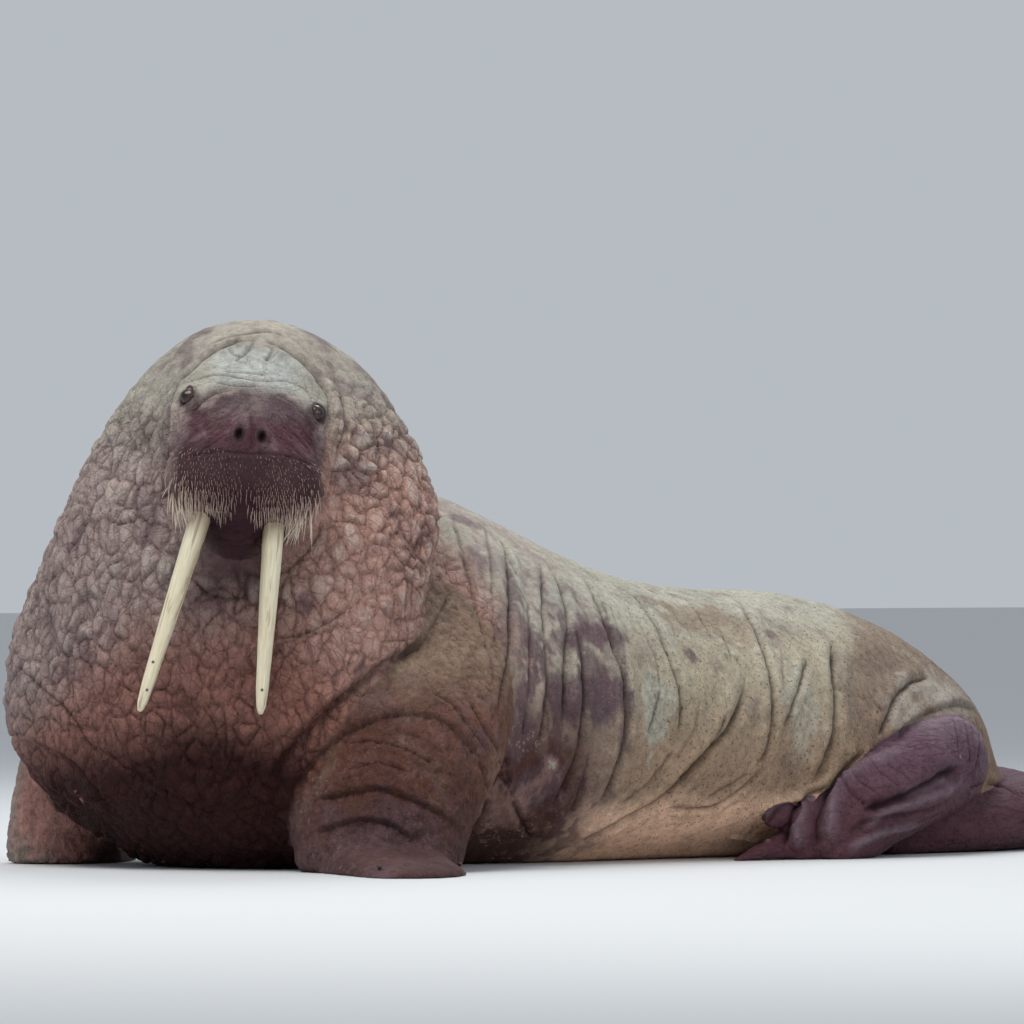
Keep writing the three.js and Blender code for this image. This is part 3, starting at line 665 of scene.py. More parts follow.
# half width and height of each rounded ridge of the hind feet
HIND_ROLLS = [
    (0.019, 0.013, [(829, 850), (829, 822), (834, 798), (852, 776), (877, 761), (910, 746)]),
    (0.014, 0.011, [(795, 850), (797, 830), (804, 813), (818, 795)]),
    (0.011, 0.009, [(862, 832), (884, 812), (915, 801), (950, 788), (966, 780)]),
    (0.011, 0.008, [(896, 796), (925, 786), (950, 775)]),
    (0.010, 0.008, [(846, 850), (880, 834), (920, 824)]),
    (0.008, 0.007, [(764, 822), (774, 808), (790, 803)]),
    (0.007, 0.006, [(730, 836), (748, 838), (770, 842)]),
    (0.024, 0.008, [(915, 735), (945, 722), (972, 730), (984, 756)]),
]

# the flank's creases are laid on both sides
creases = []
for group in (FLANK_CREASES, SHOULDER_CREASES, NECK_CREASES, FACE_CREASES, HIND_CREASES):
    for kind, pixels in group:
        for line in line_on_skin(pixels):
            creases.append((line, kind))
            if group is FLANK_CREASES:
                creases.append((mirrored(line), kind))

# finer faces on the face, on the hind feet, round the eyes and along the deeper creases
CREASE_REFINE = 0.009
DEEP_ENOUGH = 0.004
EYE_REFINE = 0.042


def near_lines(points, lines, reach):
    spots = np.concatenate(lines)
    tree = KDTree(len(spots))
    for i, spot in enumerate(spots):
        tree.insert(spot, i)
    tree.balance()
    return np.array([tree.find(p)[2] < reach for p in points.tolist()])


def on_foot(points):
    """True on the left hind foot and the end of the right one beside it."""
    near = (points[:, 1] > 0) & (points[:, 0] > 0.25) & (points[:, 2] < 0.34)
    found = [bool(n) and OWNER[SOLIDS.find_nearest(p)[2]] == list(KINDS).index("feet")
             for n, p in zip(near.tolist(), points.tolist())]
    return np.array(found)


points = points_of(skin_mesh)
deep = [line for line, kind in creases if kind[1] > DEEP_ENOUGH]
skin_mesh = refine(skin_mesh, (face_weight(points) > 0.3) | on_foot(points)
                   | near_lines(points, deep, CREASE_REFINE))
points = points_of(skin_mesh)
near_eye = np.zeros(len(points), bool)
for _, centre, _, _, _ in EYES:
    near_eye |= np.linalg.norm(points - np.array(centre), axis=1) < EYE_REFINE
skin_mesh = refine(skin_mesh, near_eye)
points = points_of(skin_mesh)
edges = edges_of(skin_mesh)
points = relax(points, edges, 4, 0.5, face_weight(points))
set_points(skin_mesh, points)
print("skin", len(points), "points", len(skin_mesh.polygons), "faces")

relief = Relief(points)
for line, kind in creases:
    relief.crease(line, *kind)
for half, height, pixels in HIND_ROLLS:
    for line in line_on_skin(pixels):
        relief.roll(line, half, height)

# where the kinds of skin lie

x, y, z = points.T
head = head_places(points)
face = face_weight(points)
kinds = kinds_of(points, edges, 6)
arms = kinds["left_arm"] + kinds["right_arm"]
hand = kinds["hands"]
foot = kinds["feet"]
# forward of the shoulder ridge, which leans forward as it rises
bell = 1 - smooth(-0.05, 0.09, y + 0.62 + 0.30 * (z - 0.55) + 0.8 * np.maximum(0.5 - z, 0))

# rounded bosses over the neck and chest, fading over the crown, and fainter ones on the arms
BOSS_ACROSS = 0.034
BOSS_TALL = 1.4
BOSS_HEIGHT = 0.0135
SMALL_BOSS_HEIGHT = 0.0024
BOSS_VARIATION = 0.0065
crown = smooth(0.90, 1.06, z)
boss_mask = bell * (1 - face) * (1 - 0.85 * crown) * (1 - 0.65 * arms) * (1 - hand)
boss_mask = np.maximum(boss_mask, 0.5 * arms * (1 - hand) * (1 - bell) * smooth(0.16, 0.30, z))
active = np.nonzero(boss_mask > 0.02)[0]
boss_points = points[active]
warp = np.stack([fractal(boss_points, 0.06, s, 2) for s in (31, 32, 33)], 1) * 0.020
tall = boss_points * np.array([1, 1, 1 / BOSS_TALL]) + warp
f1, f2, number = cells(tall, BOSS_ACROSS, 5)
g1, g2, _ = cells(tall + 0.013, 0.55 * BOSS_ACROSS, 9)
dome = np.minimum((f2 - f1) / 0.55, 1) ** 0.55
small_dome = np.minimum((g2 - g1) / 0.5, 1) ** 0.7
joined = smooth(0.25, 0.6, fractal(boss_points, 0.05, 43, 2))
dome = dome + (1 - dome) * 0.6 * joined
strength = boss_mask[active] * np.clip(0.85 + 0.6 * fractal(boss_points, 0.25, 41, 2), 0.4, 1.3)
relief.height[active] += strength * (BOSS_HEIGHT * (dome - 0.7) + SMALL_BOSS_HEIGHT * (small_dome - 0.7)
                                     + BOSS_VARIATION * (number - 0.5) * dome)
# painted shade in the gaps between the bosses
relief.darken(active, strength * (0.58 * (1 - joined) * (1 - smooth(0.0, 0.14, f2 - f1))
                                  + 0.08 * (1 - smooth(0.0, 0.14, g2 - g1))))
boss_top = np.zeros(len(points))
boss_top[active] = strength * smooth(0.55, 1.0, dome) * (0.4 + 0.9 * number)

# broad lumps and fine wrinkles everywhere else
flank = (1 - bell) * (1 - hand) * (1 - foot)
relief.height += 0.006 * (1 - face) * (1 - hand) * (1 - foot) * fractal(points, 0.24, 61, 2)
ringed = points * np.array([0.35, 1, 0.35])
fine = fractal(ringed, 0.020, 71, 3)
relief.height += 0.0022 * flank * (1 - 2 * np.abs(fine))
relief.height += 0.0012 * (1 - face) * fractal(points, 0.016, 81, 2)
relief.height += 0.0008 * face * fractal(points, 0.012, 83, 2)
# wrinkles on the arms, with painted shade along them
relief.wrinkles(np.clip(arms, 0, 1) * (1 - hand), points, (0.1, 0.05, 93), 0.022, 94,
                groove=(0.0028, 0.22), shadow=(0.40, 0.10))

# fine wrinkles that fan down and out over the sides of the muzzle, with painted shade along them
side_x = np.abs(head[:, 0])
slant_along = 0.77 * side_x - 0.64 * head[:, 2]
slant_across = 0.64 * side_x + 0.77 * head[:, 2]
fan_places = np.stack([slant_across / 0.17, slant_along / 1.1, head[:, 1] * 0.4], 1)
fan_mask = face * (0.35 + 0.65 * smooth(0.015, 0.05, side_x))
fan_mask = fan_mask * smooth(-0.17, -0.13, head[:, 2]) * smooth(-0.03, 0.03, -head[:, 2])
relief.wrinkles(fan_mask, fan_places, (0.15, 0.03, 87), 0.034, 85,
                groove=(0.0020, 0.16), shadow=(0.8, 0.08))

# wrinkles along the feet, small cracks over the brow and creases across the chin; those on the feet and the
# brow carry painted shade
relief.wrinkles(foot, points * np.array([1.0, 0.35, 1.2]), (0.1, 0.05, 90), 0.015, 92,
                groove=(0.0016, 0.18), shadow=(0.25, 0.09))
relief.wrinkles(face * smooth(-0.02, 0.02, head[:, 2]), points, (0.2, 0.03, 88), 0.022, 89,
                groove=(0.0014, 0.14), shadow=(0.35, 0.06))
chin = np.clip(kinds["head"] * 1.4, 0, 1) * smooth(-0.17, -0.22, head[:, 2])
relief.wrinkles(chin, points * np.array([0.35, 0.35, 1]), None, 0.018, 86,
                groove=(0.0030, 0.25), octaves=2, fade=0.5)

normals = normals_of(skin_mesh)
points = points + normals * relief.height[:, None]

# eyes: the lids wrap the ball, with the opening cut into them
OPENING_HALF = (0.0140, 0.0122)
LID_THICK = 0.0035
eye_dark = np.zeros(len(points))
for side, centre, facing, along, up in EYES:
    offset = points - np.array(centre)
    distance = np.linalg.norm(offset, axis=1)
    near = np.nonzero(distance < 0.06)[0]
    offset, distance = offset[near], distance[near]
    ahead = offset @ np.array(facing)
    a, c = offset @ np.array(along), offset @ np.array(up)
    spread = np.sqrt((a / OPENING_HALF[0]) ** 2 + (c / OPENING_HALF[1]) ** 2)
    front = smooth(0.0, 0.006, ahead)
    lid = EYE_RADIUS + LID_THICK * (1 - smooth(1.2, 2.4, spread)) + 0.0006
    lifted = np.where(distance < lid, lid, distance)
    wrinkle = (0.0010 * np.cos((spread - 1.35) * 2 * math.pi / 0.55) * smooth(1.15, 1.4, spread)
               * (1 - smooth(2.2, 3.2, spread)))
    lifted = lifted + wrinkle
    inside = 1 - smooth(0.92, 1.08, spread)
    target = lifted * (1 - inside) + (EYE_RADIUS - 0.004) * inside
    radius = distance * (1 - front) + target * front
    points[near] = np.array(centre) + offset * (radius / np.maximum(distance, 1e-6))[:, None]
    eye_dark[near] = np.maximum(eye_dark[near], front * (1 - smooth(1.5, 2.5, spread)))
# dark lids round each opening and a dark socket round each eye: the skin's dark colour with painted shade in
# the hollow
eye_hollow = np.sqrt(((np.abs(head[:, 0]) - EYE_SPREAD + 0.004) / 0.018) ** 2
                     + ((head[:, 2] + 0.012) / 0.030) ** 2)
eye_dark = np.maximum(eye_dark, 0.75 * (1 - smooth(0.6, 1.3, eye_hollow)) * (head[:, 1] < 0.03))

# nostrils: pits with a low rim, painted shade inside and a little round them
NOSTRIL_AT = (0.0235, -0.077)
NOSTRIL_HALF = (0.0104, 0.0150)
back = np.array(HEAD_TURN @ Vector((0, 1, 0)))
pit_dark = np.zeros(len(points))
for side in (1, -1):
    spread = np.sqrt(((head[:, 0] - side * NOSTRIL_AT[0]) / NOSTRIL_HALF[0]) ** 2
                     + ((head[:, 2] - NOSTRIL_AT[1]) / NOSTRIL_HALF[1]) ** 2)
    pit = (1 - smooth(0.35, 1.15, spread)) * (head[:, 1] < -0.08)
    rim = np.exp(-((spread - 1.45) / 0.3) ** 2) * (head[:, 1] < -0.08)
    points += back * (0.017 * pit - 0.002 * rim)[:, None]
    pit_dark = np.maximum(pit_dark, pit)
    pit_dark = np.maximum(pit_dark, 0.45 * (1 - smooth(0.8, 2.6, spread)) * (head[:, 1] < -0.08))

# the lowest skin spreads on the ground
points[:, 2] = np.maximum(points[:, 2] * smooth(-0.012, 0.030, points[:, 2]), 0.0)
set_points(skin_mesh, points)

# markings and painted light and shade, the same on both sides where the picture shows only one

BEIGE = linear(174, 162, 140)
PALE = linear(178, 176, 162)
LOW_BEIGE = linear(156, 129, 106)
BELLY = linear(250, 206, 176)
GREY_GREEN = linear(170, 172, 166)
PURPLE_GREY = linear(100, 80, 86)
RED_BROWN = linear(172, 134, 122)
MAUVE = linear(160, 140, 135)
CHEST_RED_AND_SHADE = linear(132, 86, 75)
DARK_RED = linear(74, 42, 36)
RUST = linear(130, 96, 76)
ARM_BROWN = linear(102, 66, 56)
ARM_GREY = linear(152, 136, 126)
ARM_INNER_AND_SHADE = linear(130, 92, 86)
HAUNCH = linear(132, 112, 96)
SHANK = linear(174, 166, 155)
FOOT = linear(96, 68, 81)
FOOT_LOW = linear(86, 54, 62)
MUZZLE_TOP = linear(78, 60, 64)
MUZZLE = linear(78, 42, 53)
DARK_LIP_AND_SHADE = linear(54, 28, 36)
CROWN = linear(160, 155, 143)
BLACK_BROWN = linear(44, 14, 13)
PALE_BOSS_TOP_AND_HIGHLIGHT = linear(196, 188, 176)
TAN = linear(146, 126, 106)
VEIN = linear(182, 150, 134)
ARM_PAINTED_LIGHT = linear(176, 128, 118)
FOOT_TOP_HIGHLIGHT = linear(132, 112, 122)
EYE_SOCKET = linear(62, 38, 46)
GROOVE_SHADE = linear(50, 30, 30)
NOSTRIL_SHADE = (0.004, 0.002, 0.003)


def blend(colour, other, amount):
    return colour + (np.array(other) - colour) * np.clip(amount, 0, 1)[:, None]


def plain(colour):
    return np.tile(np.array(colour), (len(points), 1))


PIXEL = 0.0021
LENGTHWAYS = 1.3
RAGGED = 1 + 1.3 * fractal(points * np.array([1, 1, 0.5]), 0.036, 91, 4, 0.7)


def patches(spots, soft=0.4):
    """Ragged patches, repeated on the far side: place, half width, half height and strength of each."""
    mask = np.zeros(len(points))
    for px, py, across, high, amount in spots:
        where = hit(px, py)
        if where is None:
            continue
        for side in (1, -1):
            dx = points[:, 0] - side * where.x
            flat = np.sqrt(dx ** 2 + (points[:, 1] - where.y) ** 2) / (across * PIXEL * LENGTHWAYS)
            tall = np.abs(points[:, 2] - where.z) / (high * PIXEL)
            d = np.sqrt(flat ** 2 + tall ** 2) * RAGGED
            mask = np.maximum(mask, amount * (1 - smooth(1 - soft, 1 + soft, d)))
    return mask


# how far a point lies across the chest as it faces, and the same measured from the chest's middle
ACROSS_X, ACROSS_Y = 0.643, 0.766
CHEST_MIDDLE = -0.64
chest_across = ACROSS_X * (x - 0.47) + ACROSS_Y * (y + 0.6)
from_middle = np.abs(chest_across - CHEST_MIDDLE)

broad = fractal(points, 0.30, 101, 3)
mottle = fractal(points, 0.07, 103, 4, 0.6)
streaky = fractal(points * np.array([1, 1, 0.42]), 0.045, 105, 4, 0.65)
tone = plain(BEIGE)
# paler in broad random clouds, and paler along the top of the back as painted highlight
tone = blend(tone, PALE, 0.25 * smooth(0.0, 0.6, broad) + 0.8 * smooth(0.42, 0.56, z))
tone = blend(tone, LOW_BEIGE, 0.9 * (1 - smooth(0.20, 0.42, z)))
tone = blend(tone, BELLY, 1 - smooth(0.07, 0.17, z + 0.03 * mottle))
tone = blend(tone, PURPLE_GREY, 0.35 * smooth(0.12, 0.5, mottle) * flank)
front_flank = (1 - smooth(-0.44, -0.20, y)) * flank
tone = blend(tone, MAUVE, 0.5 * front_flank)
# painted highlight on the swells beside the flank's creases, high up
tone = blend(tone, PALE, 0.45 * relief.ridge * flank * smooth(0.30, 0.46, z))
tone = blend(tone, PURPLE_GREY, 0.85 * front_flank * smooth(0.02, 0.22, streaky) * smooth(0.78, 0.45, z))
tone = blend(tone, PALE, 0.6 * front_flank * smooth(0.05, 0.3, -streaky) * smooth(0.25, 0.45, z))
# dark red-brown low on the front of the flank: the skin's colour with painted shade in the hollow by the arm
dark_front = (1 - smooth(-0.47, -0.28, y)) * flank
tone = blend(tone, DARK_RED, 0.95 * dark_front * (1 - smooth(0.20, 0.48, z + 0.12 * mottle)))
PURPLE_SPOTS = [
    (590, 635, 30, 12, 0.9), (604, 700, 24, 30, 0.95), (615, 640, 14, 14, 0.8), (555, 695, 12, 26, 0.7),
    (576, 700, 10, 30, 0.7), (548, 600, 12, 24, 0.6), (520, 640, 14, 40, 0.5), (475, 560, 12, 34, 0.6),
    (462, 520, 10, 20, 0.6), (690, 657, 8, 10, 0.8), (770, 634, 9, 5, 0.7), (530, 790, 30, 28, 0.7),
    (520, 730, 20, 34, 0.6), (622, 730, 10, 18, 0.6), (640, 600, 24, 6, 0.5), (880, 660, 30, 12, 0.4),
    (565, 640, 12, 14, 0.6), (505, 690, 12, 30, 0.5),
]
tone = blend(tone, PURPLE_GREY, patches(PURPLE_SPOTS))
tone = blend(tone, TAN, patches([(705, 620, 46, 16, 0.8), (740, 636, 14, 22, 0.6)], 0.7))
tone = blend(tone, RED_BROWN, patches([(440, 680, 40, 40, 0.6), (500, 810, 30, 30, 0.5)]))
PALE_SPOTS = [
    (470, 590, 8, 60, 0.9), (455, 540, 8, 34, 0.9), (640, 610, 10, 16, 0.7), (560, 600, 12, 18, 0.8),
    (612, 600, 16, 10, 0.7), (652, 700, 12, 50, 0.9), (800, 700, 16, 50, 0.6),
]
tone = blend(tone, PALE, 0.8 * patches(PALE_SPOTS))
vein = np.abs(fractal(points, 0.035, 107, 3, 0.6))
marble = (1 - smooth(0.006, 0.024, vein)) * smooth(0.1, 0.4, fractal(points, 0.09, 109, 3))
low_marble = 1 + smooth(0.42, 0.2, z)
tone = blend(tone, VEIN, 0.35 * marble * front_flank * low_marble)

# the neck: pinkish on its left side, purple-grey on its right; low on the chest its red-brown deepens into
# painted shade, near black where it meets the ground
leftness = smooth(-0.72, -0.40, chest_across)
bell_tone = blend(plain(MAUVE), RED_BROWN, leftness)
bell_tone = blend(bell_tone, CROWN, smooth(0.78, 1.02, z) * 0.9)
bell_tone = blend(bell_tone, PURPLE_GREY, 0.6 * smooth(0.05, 0.4, mottle))
# paler tops on the bosses, partly their own paler skin and partly painted highlight
bell_tone = blend(bell_tone, PALE_BOSS_TOP_AND_HIGHLIGHT, 0.42 * boss_top * smooth(0.25, 0.6, z))
chest_low = 1 - smooth(0.40, 0.64, z + 0.9 * np.maximum(from_middle - 0.14, 0))
bell_tone = blend(bell_tone, CHEST_RED_AND_SHADE, 0.85 * chest_low)
# near-black painted shade where the chest meets the ground
chest_lowest = 1 - smooth(-0.06, 0.07, z - 0.30 + 0.25 * from_middle + 0.03 * mottle)
bell_tone = blend(bell_tone, BLACK_BROWN, 0.95 * chest_lowest)
tone = blend(tone, bell_tone, bell)

arm_tone = blend(plain(ARM_BROWN), RUST, 0.15 + 0.3 * mottle)
arm_tone = blend(arm_tone, PURPLE_GREY, 0.5 * smooth(0.0, 0.4, -mottle))
# tan in random streaks, and paler towards the top of the arm as painted highlight
arm_tone = blend(arm_tone, TAN, 0.7 * smooth(0.30, 0.46, z) + 0.35 * smooth(0.1, 0.5, streaky))
arm_tone = blend(arm_tone, PURPLE_GREY, 0.6 * (1 - smooth(0.05, 0.17, z + 0.05 * mottle)))
arm_tone = blend(arm_tone, VEIN, 0.4 * marble)
arm_tone = blend(arm_tone, BLACK_BROWN, 0.4 * smooth(0.05, 0.45, broad + 0.4 * mottle))
# the far arm grey on its outer side and darker and redder on its inner side, partly the skin's colour and
# partly painted shade
arm_side = ACROSS_X * (x + 0.388) + ACROSS_Y * (y + 1.148)
far_arm = blend(plain(ARM_INNER_AND_SHADE), ARM_GREY, smooth(0.05, -0.06, arm_side + 0.02 * mottle))
on_far_side = (x < 0) * 1.0
arm_tone = blend(arm_tone, far_arm, on_far_side)
tone = blend(tone, arm_tone, np.clip(arms + hand, 0, 1) * 0.92)
# paler patches low on the far arm: painted light where the chest's overhang shades it
tone = blend(tone, ARM_PAINTED_LIGHT, patches([(34, 800, 22, 44, 0.9), (60, 840, 30, 22, 0.8)], 0.6) * on_far_side)

# the haunch behind the thigh crease, the pale shank and the dark feet
behind = smooth(-0.02, 0.08, y + 0.8 * np.abs(x) - 0.71 + 0.06 * mottle)
tone = blend(tone, HAUNCH, 0.85 * behind)
tone = blend(tone, PURPLE_GREY, 0.4 * behind * smooth(0.1, 0.5, streaky))
tone = blend(tone, RUST, 0.4 * behind * (1 - smooth(0.16, 0.34, z)))
SHANK_SPOTS = [(935, 692, 44, 20, 0.8), (905, 712, 22, 24, 0.6), (960, 704, 30, 16, 0.7)]
tone = blend(tone, SHANK, patches(SHANK_SPOTS, 0.6))
foot_edge = np.clip(foot + 0.5 * kinds["leg"] * smooth(0.24, 0.20, z), 0, 1)
foot_tone = blend(plain(FOOT), FOOT_LOW, 1 - smooth(0.08, 0.24, z))
# painted highlight along the top of the feet and on the crests of their rolls
foot_tone = blend(foot_tone, FOOT_TOP_HIGHLIGHT, 0.9 * smooth(0.22, 0.33, z + 0.03 * mottle))
foot_tone = blend(foot_tone, FOOT_TOP_HIGHLIGHT, 0.6 * relief.rim)
tone = blend(tone, foot_tone, smooth(0.35, 0.75, foot_edge + 0.18 * mottle))


def face_polygon(pixels):
    """The outline of a region of the face in the head's own frame, seen from the front."""
    corners = [hit(px, py) for px, py in pixels]
    return np.array([(HEAD_INVERSE @ where).xz[:] for where in corners if where is not None])


def inside_polygon(places, polygon, soft):
    """1 inside, 0 outside, changing over soft at the edge."""
    px, pz = places.T
    inside = np.zeros(len(places), bool)
    nearest_edge = np.full(len(places), 9.0)
    for i in range(len(polygon)):
        (x0, z0), (x1, z1) = polygon[i - 1], polygon[i]
        crosses = (z0 > pz) != (z1 > pz)
        at = x0 + (pz - z0) * (x1 - x0) / ((z1 - z0) if abs(z1 - z0) > 1e-9 else 1e-9)
        inside ^= crosses & (px < at)
        length = max((x1 - x0) ** 2 + (z1 - z0) ** 2, 1e-12)
        t = np.clip(((px - x0) * (x1 - x0) + (pz - z0) * (z1 - z0)) / length, 0, 1)
        d = np.hypot(px - x0 - t * (x1 - x0), pz - z0 - t * (z1 - z0))
        nearest_edge = np.minimum(nearest_edge, d)
    signed = np.where(inside, nearest_edge, -nearest_edge)
    return smooth(-soft, soft, signed)


FACE_PIXELS = [(262, 341), (222, 350), (194, 372), (178, 388), (173, 412), (171, 440), (168, 465), (166, 495),
               (200, 515), (240, 520), (290, 520), (316, 500), (320, 470), (323, 430), (325, 400), (311, 374),
               (290, 352)]
MUZZLE_PIXELS = [(176, 440), (188, 412), (206, 394), (236, 386), (262, 387), (290, 393), (310, 410),
                 (319, 436), (322, 500), (290, 540), (215, 545), (164, 500), (167, 462)]
front = smooth(-0.08, -0.02, -head[:, 1]) * (np.abs(head[:, 0]) < 0.25)
flat_head = head[:, [0, 2]] + 0.006 * np.stack([fractal(points, 0.03, s, 2) for s in (111, 112)], 1)
face_mask = inside_polygon(flat_head, face_polygon(FACE_PIXELS), 0.006) * front
muzzle_mask = inside_polygon(flat_head, face_polygon(MUZZLE_PIXELS), 0.022) * front
brow_middle = 1 - smooth(0.06, 0.13, np.abs(head[:, 0]))
brow = blend(plain(CROWN), GREY_GREEN, (0.9 + 0.4 * mottle) * brow_middle * smooth(-0.01, 0.06, head[:, 2]))
brow = blend(brow, MAUVE, 0.8 * smooth(0.02, -0.05, head[:, 2]))
tone = blend(tone, brow, face_mask)
muzzle_tone = blend(plain(MUZZLE_TOP), MUZZLE, smooth(-0.01, -0.06, head[:, 2] + 0.01 * mottle))
muzzle_tone = blend(muzzle_tone, MAUVE, 0.25 * smooth(0.1, 0.5, mottle))
# darkest low on the muzzle: the lip's dark colour with painted shade among the whiskers
muzzle_tone = blend(muzzle_tone, DARK_LIP_AND_SHADE, smooth(-0.085, -0.125, head[:, 2]))
tone = blend(tone, muzzle_tone, 0.95 * muzzle_mask)
# painted highlight along the arch over the top of the muzzle
ARCH_HIGHLIGHT_SPOTS = [(204, 405, 5, 5, 0.6), (214, 397, 6, 4, 0.7), (226, 392, 7, 3, 0.7), (292, 398, 7, 3, 0.5)]
tone = blend(tone, MAUVE, patches(ARCH_HIGHLIGHT_SPOTS, 0.6))
# painted shade on the chin and under it, between the tusks
chin_side = 1 - smooth(0.05, 0.10, np.abs(head[:, 0]) + 0.6 * np.maximum(-0.26 - head[:, 2], 0))
tone = blend(tone, DARK_LIP_AND_SHADE, 0.85 * smooth(0.1, 0.6, chin) * chin_side)
shade_below_chin = np.exp(-((head[:, 0] / 0.10) ** 2) - ((head[:, 2] + 0.34) / 0.09) ** 2) * (head[:, 1] < 0.1)
tone = blend(tone, DARK_LIP_AND_SHADE, 0.8 * shade_below_chin)
# the dark lids and socket, with painted shade in the hollow
tone = blend(tone, EYE_SOCKET, 0.95 * eye_dark)
# painted shade in and round the nostrils
tone = blend(tone, NOSTRIL_SHADE, 0.95 * pit_dark)
# painted shade in the creases, wrinkles and gaps between the bosses
tone = blend(tone, GROOVE_SHADE, 0.8 * np.clip(relief.dark, 0, 1))

speckle = np.clip(flank * (1 - arms) * (0.35 + 0.65 * smooth(-0.45, -0.1, y)), 0, 1)
gloss = np.clip(muzzle_mask * 0.6 + foot * 0.9, 0, 1)


def set_colour(mesh, name, rgb):
    """A colour attribute; "kind" on the skin holds how speckled, how glossy and how bossed it is."""
    layer = mesh.color_attributes.new(name, "FLOAT_COLOR", "POINT")
    rgba = np.ones((len(mesh.vertices), 4), np.float32)
    rgba[:, :3] = rgb
    layer.data.foreach_set("color", rgba.ravel())


set_colour(skin_mesh, "tone", np.clip(tone, 0, 1))
set_colour(skin_mesh, "kind", np.stack([speckle, gloss, boss_mask], 1))


# materials

class Nodes:
    def __init__(self, name):
        self.material = bpy.data.materials.new(name)
        self.material.use_nodes = True
        self.tree = self.material.node_tree
        self.shader = self.tree.nodes["Principled BSDF"]

    def add(self, kind, inputs=None, **settings):
        node = self.tree.nodes.new(kind)
        for key, value in settings.items():
            setattr(node, key, value)
        for key, value in (inputs or {}).items():
            if isinstance(value, bpy.types.NodeSocket):
                self.tree.links.new(value, node.inputs[key])
            else:
                node.inputs[key].default_value = value
        return node

    def math(self, operation, a, b):
        return self.add("ShaderNodeMath", {0: a, 1: b}, operation=operation).outputs[0]

    def plus(self, a, b):
        return self.math("ADD", a, b)

    def minus(self, a, b):
        return self.math("SUBTRACT", a, b)

    def times(self, a, b):
        return self.math("MULTIPLY", a, b)

    def place(self):
        return self.add("ShaderNodeTexCoord").outputs["Object"]

    def attribute(self, name, output):
        return self.add("ShaderNodeAttribute", attribute_name=name).outputs[output]

    def noise(self, place, scale, detail=2.0, roughness=0.5, output=0):
        inputs = {"Vector": place, "Scale": scale, "Detail": detail, "Roughness": roughness}
        return self.add("ShaderNodeTexNoise", inputs).outputs[output]

    def cell_edge(self, place, scale):
        inputs = {"Vector": place, "Scale": scale}
        return self.add("ShaderNodeTexVoronoi", inputs, feature="DISTANCE_TO_EDGE").outputs[0]

    def stretched(self, place, scale):
        return self.add("ShaderNodeMapping", {"Vector": place, "Scale": scale}).outputs[0]

    def bump(self, height, strength, distance):
        inputs = {"Height": height, "Strength": strength, "Distance": distance}
        self.link(self.add("ShaderNodeBump", inputs).outputs[0], "Normal")

    def constant(self, name, value):
        self.shader.inputs[name].default_value = value

    def mix(self, factor, a, b, blend_type="MIX"):
        node = self.add("ShaderNodeMix", data_type="RGBA", blend_type=blend_type)
        for key, value in ((0, factor), (6, a), (7, b)):
            if isinstance(value, bpy.types.NodeSocket):
                self.tree.links.new(value, node.inputs[key])
            else:
                node.inputs[key].default_value = value if key == 0 else (*value[:3], 1)
        return node.outputs[2]

    def ramp(self, value, low, high):
        return self.add("ShaderNodeMapRange", {0: value, 1: low, 2: high}, clamp=True).outputs[0]

    def link(self, output, name):
        self.tree.links.new(output, self.shader.inputs[name])


def skin_material():
    n = Nodes("hide")
    place = n.place()
    tone_in = n.attribute("tone", "Color")
    kind_in = n.attribute("kind", "Color")
    speckled, glossy, bossed = n.add("ShaderNodeSeparateColor", {0: kind_in}).outputs
    # clouds, grain and specks that vary the tone
    grain = n.noise(place, 55.0, 6.0, 0.65)
    cloud = n.noise(place, 9.0, 4.0)
    spots = n.noise(place, 150.0, 2.0)
    value = n.plus(n.times(grain, 1.35), n.times(cloud, 0.6))
    speck = n.noise(place, 270.0, 3.0, 0.7)
    value = n.plus(n.plus(value, n.times(speck, 0.75)), -0.32)
    # pebbles on the bosses, with painted shade in the lines between them
    bent = n.noise(place, 28.0, output=1)
    swayed = n.add("ShaderNodeVectorMath", {0: bent, 1: (0.02, 0.02, 0.02)}, operation="MULTIPLY").outputs[0]
    swayed = n.add("ShaderNodeVectorMath", {0: place, 1: swayed}, operation="ADD").outputs[0]
    pebble = n.ramp(n.cell_edge(n.stretched(swayed, (1.0, 1.0, 0.7)), 48.0), 0.0, 0.12)
    between = n.times(n.minus(1.0, pebble), n.times(bossed, 0.22))
    value = n.times(value, n.minus(1.0, between))
    shade = n.add("ShaderNodeCombineColor", {0: value, 1: value, 2: value}).outputs[0]
    colour = n.mix(1.0, tone_in, shade, "MULTIPLY")
    dots = n.times(n.ramp(spots, 0.60, 0.68), speckled)
    colour = n.mix(n.times(dots, 0.6), colour, linear(66, 48, 46))
    light = n.times(n.times(n.ramp(spots, 0.40, 0.30), speckled), 0.22)
    colour = n.mix(light, colour, linear(196, 184, 160))
    n.link(colour, "Base Color")
    n.link(n.minus(n.plus(n.times(grain, 0.25), 0.56), n.times(glossy, 0.26)), "Roughness")
    n.constant("Specular IOR Level", 0.16)
    leather = n.cell_edge(place, 190.0)
    ripple = n.noise(place, 120.0, 6.0, 0.62)
    fine = n.plus(n.times(n.ramp(leather, 0.0, 0.12), 0.45), n.times(ripple, 1.3))
    n.bump(n.plus(fine, n.times(n.times(pebble, bossed), 0.8)), 0.85, 0.0034)
    return n.material


skin = add_object("skin", skin_mesh)
skin_mesh.name = "skin"
skin_mesh.materials.clear()
skin_mesh.materials.append(skin_material())
shade_smooth(skin_mesh)
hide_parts(*FLESH)
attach(skin, "root")

SKIN_TREE = surface_tree(points_of(skin_mesh), skin_mesh)


# tusks and claws: the solids' own shapes, finer and worn

